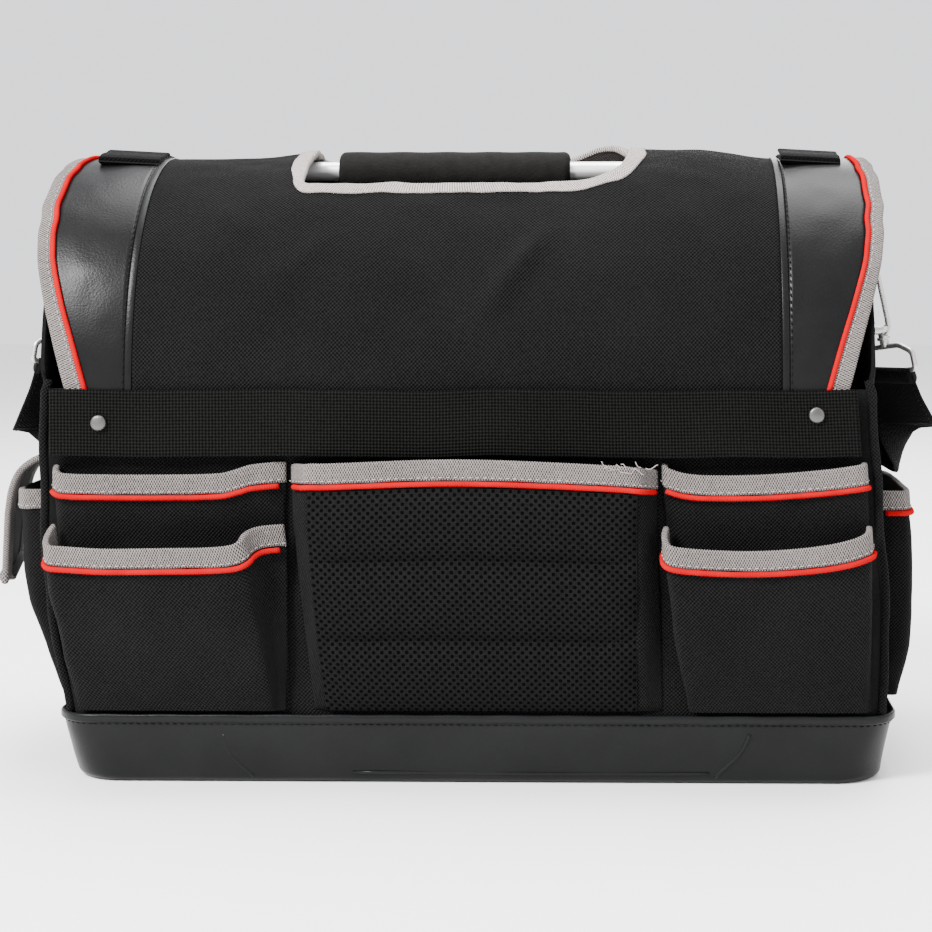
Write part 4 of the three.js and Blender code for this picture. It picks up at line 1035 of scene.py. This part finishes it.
class TOOLBAG_OT_cover(bpy.types.Operator):
    """The domed cover with its slot, strips, welts, piping and bindings"""

    bl_idname = "toolbag.cover"
    bl_label = "Cover"

    def execute(self, context):
        props = context.scene.tool_bag
        seam = COVER_SEAM - 2.2
        centre = Vector((SLOT["centre"], COVER_LENGTH / 2))

        def rim(t):
            p = slot_outline(t, 0)
            return Vector((p.x, s_of(p.y)))

        def border(t):
            """The panel's outer edge in the direction of the slot's edge, as seen from the slot's middle."""
            way = rim(t) - centre
            reach = []
            if abs(way.x) > 1e-6:
                reach.append(((seam if way.x > 0 else -seam) - centre.x) / way.x)
            if abs(way.y) > 1e-6:
                reach.append(((COVER_LENGTH if way.y > 0 else 0) - centre.y) / way.y)
            return centre + way * min(reach)

        def flat_pattern(u, v):
            return rim(u).lerp(border(u), v**1.3).to_3d()

        bm = grid(flat_pattern, (420, 60), (1, 1), closed=True)
        layer = bm.loops.layers.uv.active
        for face in bm.faces:
            for loop in face.loops:
                loop[layer].uv = loop.vert.co.xy
        for vert in bm.verts:
            vert.co = cover_point(vert.co.x, vert.co.y, 1)
        bmesh.ops.recalc_face_normals(bm, faces=bm.faces)
        finish_piece("cover_cloth", bm, "canvas", ["cover_panel"], 1.8)

        def slot_wrap(u, v):
            grow, over, offset = folded(v, 2.0, -2.0)
            edge = slot_outline(u, 0)
            near_run = ease((-edge.y - 52) / 12)
            left_run = ease((-edge.x - 88) / 8)
            grow *= (1 - 0.38 * near_run) * (1 - 0.12 * left_run)
            waver = 0.9 * noise.noise(Vector((u * 40, 2, 5)))
            p = slot_outline(u, grow - 0.8 * over + waver)
            return cover_point(p.x, s_of(p.y), offset)

        cloth("slot_tape", slot_wrap, (360, 24), (600, 21), "tape_light", ["slot_binding"], 0.9, closed=True)
        for side, name in ((-1, "left"), (1, "right")):
            welt = swept(cover_line(lambda s: side * COVER_SEAM, 1.2), section(4.2, 1.4))
            finish_piece("strip_welt_" + name, welt, "leatherette", ["cover_welt_" + name])

            def strip(u, v):
                s = v * COVER_LENGTH
                x = side * mix(COVER_SEAM + 1.5, edge_at(s) + 0.4, u)
                pucker = rumple(Vector((x, s, 0)), 18, 0.4)
                return cover_point(x, s, 1 + (0.8 + pucker) * math.sin(math.pi * u))

            cloth(
                "strip_" + name, strip, (12, 130), (50, COVER_LENGTH), "leatherette",
                ["cover_strip_" + name], 1.8, flip=side < 0,
            )
            cord = swept(cover_line(lambda s: side * edge_at(s), 1.8), section(2 * PIPE, 2 * PIPE))
            finish_piece("cover_cord_" + name, cord, "piping", ["cover_piping_" + name])
            middle = cover_line(lambda s: side * (edge_at(s) + PIPE - 1 + tape_at(s) / 2), 0.2)
            tape = []
            for i, (place, across, out) in enumerate(middle):
                width = tape_at(COVER_LENGTH * i / (len(middle) - 1))
                tape.append((place, across * width / EDGE_TAPE, out))
            tape = swept(tape, section(EDGE_TAPE + 0.6, 3.0, 0.9, 5))
            finish_piece("cover_tape_" + name, tape, "tape", ["cover_binding_" + name])
            for kind, x_of, look in (
                ("strip", lambda s: side * (COVER_SEAM + 3.1), "thread_black"),
                ("tape", lambda s: side * (edge_at(s) + PIPE + 1.6), "thread_grey"),
            ):
                line = [(place, out) for place, _, out in cover_line(x_of, 1.7)]
                finish_piece(kind + "_stitches_" + name, stitch_row(line, props), look)

        def hem(u, v):
            down, over, offset = folded(v, 2.6, -1.4)
            x = mix(-1, 1, u) * (edge_at(COVER_LENGTH) - PIPE)
            return cover_point(x, COVER_LENGTH - down + 0.9 * over, offset)

        cloth("hem_tape", hem, (140, 20), (470, 21), "tape", ["cover_hem_binding"], 0.8, flip=True)
        return {"FINISHED"}


class TOOLBAG_OT_closing_straps(bpy.types.Operator):
    """Closing straps from the far wall over the cover, with their ends rolled on the crest"""

    bl_idname = "toolbag.closing_straps"
    bl_label = "Closing straps"

    def execute(self, context):
        end = COVER_TUCK + COVER_ARC / 2 - CLOSING_END
        for name, (x, lift) in CLOSING_STRAPS.items():
            line = []
            for z in (135, 145, 155, 165):
                line.append((leaned(Vector((x, BODY_DEPTH + 1.6, z))), ALONG, BACK))
            line += cover_line(lambda s: x, lift, COVER_LENGTH + 1, end, 80)
            place, across, out = line[-1]
            ahead = out.cross(across).normalized()
            ahead *= -1 if ahead.y > 0 else 1
            for i in range(1, 9):
                turn = math.pi * i / 8
                spot = place + out * 1.3 * (1 - math.cos(turn)) + ahead * 1.8 * math.sin(turn)
                line.append((spot, across, out * math.cos(turn) + ahead * math.sin(turn)))
            for i in range(1, 10):
                line.append((cover_point(x, end + 3.4 * i, lift + 2.6 + 0.4 * math.sin(i)), across, -out))
            roll = Vector((1, 0.1, -0.05)).normalized()
            line[-18:] = [(spot, roll, face) for spot, _, face in line[-18:]]
            strap = swept(line, section(CLOSING_WIDTH, 2.4, 0.9))
            finish_piece("rolled_strap_" + name, strap, "webbing", ["closing_strap_" + name])
        return {"FINISHED"}


class TOOLBAG_OT_band(bpy.types.Operator):
    """The waffle-woven band across the near side, and its rivets"""

    bl_idname = "toolbag.band"
    bl_label = "Band"

    def execute(self, context):
        inside = COVER_DEPTH + BAND_SPACE

        def band(u, v):
            x, z = mix(BAND_LEFT, BAND_RIGHT, u), mix(WALL_TOP - BAND_WIDTH, WALL_TOP, v)
            drift = rumple(Vector((x, 0, z * 0.3)), 60, 0.9, 5.0)
            z += rumple(Vector((x, 0, 0)), 70, 1.2)
            return leaned(Vector((x, -(inside + 1.6 + drift), z)))

        cloth("waffle_band", band, (260, 24), (470, 38), "waffle", ["near_band"], 1.8)
        disc = [(0, 1.5), (3.3, 1.4), (4.2, 1.0), (4.6, 0.2), (4.6, -0.4), (0, -0.6)]
        for name, (x, rise) in RIVETS.items():
            spot = leaned(Vector((x, -(inside + 2.6), WALL_TOP - RIVET_DROP + rise)))
            place = Matrix.Translation(spot) @ Matrix.Rotation(math.pi / 2, 4, "X")
            turned("rivet_" + name, disc, place, "rivet_steel", ["band_rivet_" + name])
        return {"FINISHED"}


class TOOLBAG_OT_near_pockets(bpy.types.Operator):
    """The five pockets of the near side"""

    bl_idname = "toolbag.near_pockets"
    bl_label = "Near pockets"

    def execute(self, context):
        props = context.scene.tool_bag
        for name, pocket in near_pockets().items():
            dress_pocket(name, pocket, props)
        threads = []
        for k in range(10):
            line = []
            for i in range(6):
                x = 83 + 2.7 * k + 1.4 * i * math.cos(k * 2.1)
                z = 184.5 + 0.8 * i * math.sin(k * 1.7) + 0.8 * math.sin(i * 1.1 + k)
                line.append(leaned(Vector((x, -(BODY_DEPTH + 18.9 + 0.5 * math.sin(i * 1.3 + k)), z))))
            threads.append(rod(line, section(0.45, 0.45, steps=2)))
        joined("frayed_threads", threads, "thread_grey")
        return {"FINISHED"}


class TOOLBAG_OT_pad(bpy.types.Operator):
    """The quilted spacer-mesh front of the centre pocket"""

    bl_idname = "toolbag.pad"
    bl_label = "Mesh pad"

    def execute(self, context):
        pocket = near_pockets()["centre"]
        start, end = pocket.plan[3][0], pocket.plan[8][0]
        top = 1 - (TAPE + 2 * PIPE + 3 * GAP) / pocket.height
        lines = [0, 0.325, 0.68, 1]

        def pad(u, v):
            s, share = mix(start, end, u), v * top
            here = pocket.at(s, share)
            near_line = min(abs(v - line) for line in lines) * 130
            side = min(u, 1 - u) * (end - start)
            puff = (1 - math.exp(-near_line / 7)) * (1 - math.exp(-side / 9))
            full = 1.2 + 6.0 * puff + rumple(here, 22, 1.0) * puff
            return pocket.at(s, share, full) + Vector((-4 * (1 - v), 0, 0))

        pad_piece = cloth("mesh_pad", pad, (180, 130), (190, 130), "mesh", ["centre_pad"], 0.0)
        return {"FINISHED"}


class TOOLBAG_OT_end_pockets(bpy.types.Operator):
    """The pocket on each end and the flap over the left one"""

    bl_idname = "toolbag.end_pockets"
    bl_label = "End pockets"

    def execute(self, context):
        props = context.scene.tool_bag
        for side, name in ((-1, "left_end"), (1, "right_end")):
            dress_pocket(name, end_pocket(side), props, facing=side, piped=side > 0)
        table = [
            [0, 0, 0], [0.167, 0.36, 0.02], [0.333, 0.66, 0.12], [0.5, 0.8, 0.26], [0.667, 0.86, 0.42],
            [0.833, 0.93, 0.7], [1, 1, 1],
        ]

        def flap_at(y, v, offset):
            out, down = spline(table, v)
            ahead, behind = spline(table, v + 0.01), spline(table, v - 0.01)
            rise = Vector((FLAP_REACH * (ahead[0] - behind[0]), FLAP_DROP * (ahead[1] - behind[1]))).normalized()
            reach = mix(FLAP_REACH_NEAR, FLAP_REACH_FAR, (y - FLAP_NEAR) / (FLAP_FAR - FLAP_NEAR))
            x = BODY_LENGTH + GAP + reach * out + offset * rise.y
            z = FLAP_TOP - FLAP_DROP * down + offset * rise.x
            return leaned(Vector((-x, y, z)))

        def flap(u, v):
            y = mix(FLAP_NEAR, FLAP_FAR, u)
            spot = Vector((0, y, v * 90))
            return flap_at(y, v, 2 + rumple(spot, 30, 1.2) * v)

        cloth("flap_cloth", flap, (40, 40), (98, 95), "canvas", ["left_end_flap"], 1.8)
        edge = [(FLAP_NEAR, 0.1 + 0.9 * i / 24) for i in range(25)]
        edge += [(mix(FLAP_NEAR, FLAP_FAR, i / 24), 1.0) for i in range(1, 25)]
        edge += [(FLAP_FAR, 1 - 0.9 * i / 24) for i in range(1, 25)]
        line = [flap_at(y, v, 1.1) for y, v in edge]
        tape = rod(line, section(4.2, TAPE, 0.95, 5), up=Vector((0, 1, 0.001)))
        finish_piece("flap_tape", tape, "tape", ["left_flap_binding"])
        return {"FINISHED"}


def hardware_point(spot, x, y, z):
    """A point of the ring and hook: X out from the wall and Z up from the ring's bar."""
    tilt = spot["tilt"]
    px = x * math.cos(tilt) - z * math.sin(tilt) + BODY_LENGTH + RING_STANDOFF
    pz = x * math.sin(tilt) + z * math.cos(tilt) + spot["bar"]
    return leaned(Vector((spot["side"] * px, y, pz)))


def rounded(corners, radius, steps=6):
    """A closed line through corners, each rounded off."""
    result = []
    count = len(corners)
    for i, corner in enumerate(corners):
        here = Vector(corner)
        before, after = Vector(corners[i - 1]) - here, Vector(corners[(i + 1) % count]) - here
        a, b = here + before.normalized() * radius, here + after.normalized() * radius
        for k in range(steps + 1):
            t = k / steps
            result.append(a * (1 - t) ** 2 + here * 2 * t * (1 - t) + b * t * t)
    return result


class TOOLBAG_OT_hardware(bpy.types.Operator):
    """Tabs, D-rings, snap hooks and their gates"""

    bl_idname = "toolbag.hardware"
    bl_label = "Hardware"

    def execute(self, context):
        for name, spot in HARDWARE.items():
            corners = [(-RING_HALF, 0), (RING_HALF, 0), (RING_HALF, -RING_DROP), (-RING_HALF, -RING_DROP)]
            line = [hardware_point(spot, 0, y, z) for y, z in rounded(corners, 8, 8)]
            finish_piece("ring_" + name, rod(line, section(WIRE, WIRE), ring=True), "steel", ["d_ring_" + name])
            self.make_hook(name, spot)
            flat = {"side": spot["side"], "bar": spot["bar"], "tilt": 0.0}
            path = [(-4.0, TAB_LENGTH), (-4.0, 14), (-3.9, 2)]
            path += [(2.9 * math.cos(a), 2.9 * math.sin(a)) for a in (math.radians(200 + 20 * i) for i in range(13))]
            path += [(-1.6, 8), (-2.2, 16), (-2.3, TAB_LENGTH)]
            tab = self.upright(flat, path, section(1.5, TAB_WIDTH, 0.9))
            finish_piece("tab_" + name, tab, "webbing", ["ring_tab_" + name])
        return {"FINISHED"}

    def upright(self, spot, path, outline):
        """A rod along a path of (x, z) in the middle plane of the ring and hook."""
        return rod([hardware_point(spot, x, 0, z) for x, z in path], outline, up=BACK)

    def make_hook(self, name, spot):
        arch = HOOK_TOP - 6
        path = [(-HOOK_HALF, GATE_TOP + 0.4), (-HOOK_HALF, arch)]
        for i in range(1, 12):
            turn = math.pi * i / 12
            path.append((-HOOK_HALF * math.cos(turn), arch + HOOK_HALF * math.sin(turn)))
        path += [(HOOK_HALF, arch), (HOOK_HALF, GATE_BOTTOM), (4.4, HOOK_FOOT + 5)]
        path += [(3.2, HOOK_FOOT + 1.5), (0, HOOK_FOOT + 0.8)]
        foot = [(x, GATE_BOTTOM - drop) for x, drop in ((-5.2, 6.2), (-4.4, 6.6), (0, 7), (4.4, 6.6))]
        neck = [(0, HOOK_FOOT + 3), (0, HOOK_FOOT - 1), (0, HOOK_FOOT - 4), (0, EYE_TOP - 2)]
        solids = [
            self.upright(spot, path, section(2.8, 6, 0.8)),
            self.upright(spot, foot, section(5.2, 6, 0.7)),
            self.upright(spot, neck, section(6, 6)),
            self.upright(spot, [(0, EYE_TOP + 4.4), (0, EYE_TOP + 2.6)], section(8.4, 8.4)),
        ]
        cos, sin = math.cos(EYE_YAW), math.sin(EYE_YAW)
        shoulder, low = EYE_TOP - 7, EYE_TOP - EYE_DROP
        corners = [(-12, EYE_TOP - 1.8), (12, EYE_TOP - 1.8), (EYE_HALF, shoulder)]
        corners += [(EYE_HALF, low), (-EYE_HALF, low), (-EYE_HALF, shoulder)]
        eye = [hardware_point(spot, x * cos, -x * sin, z) for x, z in rounded(corners, 3)]
        solids.append(rod(eye, section(WIRE, WIRE), ring=True))
        joined("hook_" + name, solids, "steel", ["snap_hook_" + name])
        line = [(-HOOK_HALF, z) for z in (GATE_BOTTOM - 2.4, GATE_BOTTOM + 6, GATE_TOP - 0.2)]
        gate = self.upright(spot, line, section(2.6, 4.2, 0.8))
        finish_piece("gate_" + name, gate, "steel", ["hook_gate_" + name], body=name + "_gate")


# The strap's folds beside each hook, in strap widths from the eye: (out, back, down), then its direction across
STRAP_FOLD = {
    "left": [
        (0.14, 0.1, 0.45, 0.64, -0.74, 0.06), (0.4, 0.3, 1.1, 0.62, -0.6, 0.3), (0.5, 0.75, 1.38, 0.5, -0.4, 0.7),
        (0.38, 1.2, 1.42, 0.2, -0.1, 0.95), (0.18, 1.7, 1.36, 0, 0, 1),
    ],
    "right": [
        (0.12, 0.1, 0.38, 0.64, -0.74, 0.06), (0.27, 0.36, 0.86, 0.6, -0.55, 0.4),
        (0.26, 0.8, 1.18, 0.36, -0.35, 0.86), (0.2, 1.25, 1.3, 0.1, -0.1, 0.98), (0.05, 1.7, 1.24, 0, 0, 1),
    ],
}


def strap_half(name):
    """Stations of one half of the shoulder strap, from the hook's eye to the middle of the far side."""
    spot = HARDWARE[name]
    side, tilt = spot["side"], spot["tilt"]
    foot = EYE_TOP - EYE_DROP
    eye_x = BODY_LENGTH + RING_STANDOFF - foot * math.sin(tilt)
    eye_z = spot["bar"] + foot * math.cos(tilt)
    rows = []

    def station(x, y, z, across):
        rows.append([side * x, y, z, side * across[0], across[1], across[2]])

    bar = (math.cos(EYE_YAW) * math.cos(tilt), -math.sin(EYE_YAW), math.cos(EYE_YAW) * math.sin(tilt))
    station(eye_x, 0, eye_z - 2, bar)
    for out, back, down, *across in STRAP_FOLD[name]:
        station(eye_x + STRAP_WIDTH * out, STRAP_WIDTH * back, eye_z - STRAP_WIDTH * down, across)
    cx, cy = BODY_LENGTH + STRAP_OUT - STRAP_BEND, STRAP_FAR - STRAP_BEND
    station(BODY_LENGTH + STRAP_OUT, cy - STRAP_WIDTH / 3, STRAP_HEIGHT, UP)
    for i in range(5):
        turn = math.pi / 8 * i
        station(cx + STRAP_BEND * math.cos(turn), cy + STRAP_BEND * math.sin(turn), STRAP_HEIGHT, UP)
    for share in (0.8, 0.55, 0.28, 0):
        station(cx * share, STRAP_FAR, STRAP_HEIGHT - STRAP_SAG * (1 - share * share), UP)
    return rows


class TOOLBAG_OT_shoulder_strap(bpy.types.Operator):
    """The shoulder strap from hook to hook round the far side"""

    bl_idname = "toolbag.shoulder_strap"
    bl_label = "Shoulder strap"

    def execute(self, context):
        props = context.scene.tool_bag
        rows = strap_half("right") + strap_half("left")[-2::-1]
        table = []
        length = 0.0
        for i, row in enumerate(rows):
            if i:
                length += (Vector(row[:3]) - Vector(rows[i - 1][:3])).length
            table.append([length, *row])
        count = int(length / 4)
        stations = []
        for i in range(count + 1):
            s = length * i / count
            row = spline(table, s)
            before, after = spline(table, s - 2), spline(table, s + 2)
            place, across = Vector(row[:3]), Vector(row[3:]).normalized()
            along = (Vector(after[:3]) - Vector(before[:3])).normalized()
            across = (across - along * across.dot(along)).normalized()
            face = along.cross(across)
            place += face * rumple(place, 80, 1.5)
            stations.append((leaned(place), across, face))
        bodies = [swept(stations, section(STRAP_WIDTH, STRAP_THICKNESS, 0.9))]
        for place, across, face in (stations[0], stations[-1]):
            run = across.cross(face)
            loop = [(place + across * reach, run, face) for reach in (-18.4, -9, 0, 9, 18.4)]
            bodies.append(swept(loop, section(10.5, 7.6)))
        joined("carrying_strap", bodies, "webbing", ["shoulder_strap"])
        rows = []
        for side in (-1, 1):
            for face in (-1, 1):
                line = [(p + across * side * STRAP_SEAM + out * face, out * face) for p, across, out in stations]
                rows.append(stitch_row(line, props))
        joined("strap_stitches", rows, "thread_black")
        return {"FINISHED"}


def colour(name, description, value):
    return FloatVectorProperty(
        name=name, description=description, subtype="COLOR", size=3, min=0, max=1, default=value
    )


def distance(name, description, low, high, value):
    return FloatProperty(name=name, description=description, unit="LENGTH", min=low, max=high, default=value)


class BagColours(bpy.types.PropertyGroup):
    """Colours of the bag's finishes"""

    canvas: colour("Canvas", "Colour of the black canvas", (0.0026, 0.0025, 0.0025))
    webbing: colour("Webbing", "Colour of straps and band", (0.0013, 0.0013, 0.0012))
    mesh: colour("Spacer mesh", "Colour of the padded mesh", (0.0013, 0.0014, 0.0013))
    tape: colour("Binding tape", "Colour of the woven binding tape", (0.107, 0.095, 0.09))
    piping: colour("Piping", "Colour of the piping cord", (0.31, 0.0003, 0.004))
    leatherette: colour("Leatherette", "Colour of the cover's end strips", (0.0026, 0.0026, 0.0027))
    base: colour("Base", "Colour of the moulded base", (0.0032, 0.0033, 0.0034))


class BagProperties(bpy.types.PropertyGroup):
    """Sizes that a user would change, and the colours"""

    colours: PointerProperty(type=BagColours)
    stitch_pitch: distance("Stitch spacing", "Distance from one stitch to the next", 0.002, 0.01, 0.0042)
    stitch_length: distance("Stitch length", "Length of one stitch", 0.001, 0.008, 0.003)
    waffle_pitch: distance("Waffle pitch", "Size of one cell of the band's weave", 0.001, 0.01, 0.0019)
    mesh_pitch: distance("Mesh pitch", "Distance between holes of the spacer mesh", 0.001, 0.01, 0.0029)


STEPS = (
    TOOLBAG_OT_stage,
    TOOLBAG_OT_base,
    TOOLBAG_OT_walls,
    TOOLBAG_OT_handle,
    TOOLBAG_OT_cover,
    TOOLBAG_OT_closing_straps,
    TOOLBAG_OT_band,
    TOOLBAG_OT_near_pockets,
    TOOLBAG_OT_pad,
    TOOLBAG_OT_end_pockets,
    TOOLBAG_OT_hardware,
    TOOLBAG_OT_shoulder_strap,
)


class TOOLBAG_PT_panel(bpy.types.Panel):
    """The bag's sizes, colours and operators"""

    bl_idname = "TOOLBAG_PT_panel"
    bl_label = "Tool Bag"
    bl_space_type = "VIEW_3D"
    bl_region_type = "UI"
    bl_category = "Tool Bag"

    def draw(self, context):
        props = context.scene.tool_bag
        for name in ("stitch_pitch", "stitch_length", "waffle_pitch", "mesh_pitch"):
            self.layout.prop(props, name)
        for name in BagColours.__annotations__:
            self.layout.prop(props.colours, name)
        for step in STEPS:
            self.layout.operator(step.bl_idname)


CLASSES = (BagColours, BagProperties, *STEPS, TOOLBAG_PT_panel)


def register():
    for cls in CLASSES:
        bpy.utils.register_class(cls)
    bpy.types.Scene.tool_bag = PointerProperty(type=BagProperties)


def unregister():
    del bpy.types.Scene.tool_bag
    for cls in reversed(CLASSES):
        bpy.utils.unregister_class(cls)


def main():
    register()
    make_looks(bpy.context.scene.tool_bag)
    for step in STEPS:
        group, name = step.bl_idname.split(".")
        getattr(getattr(bpy.ops, group), name)()


if __name__ == "__main__":
    main()
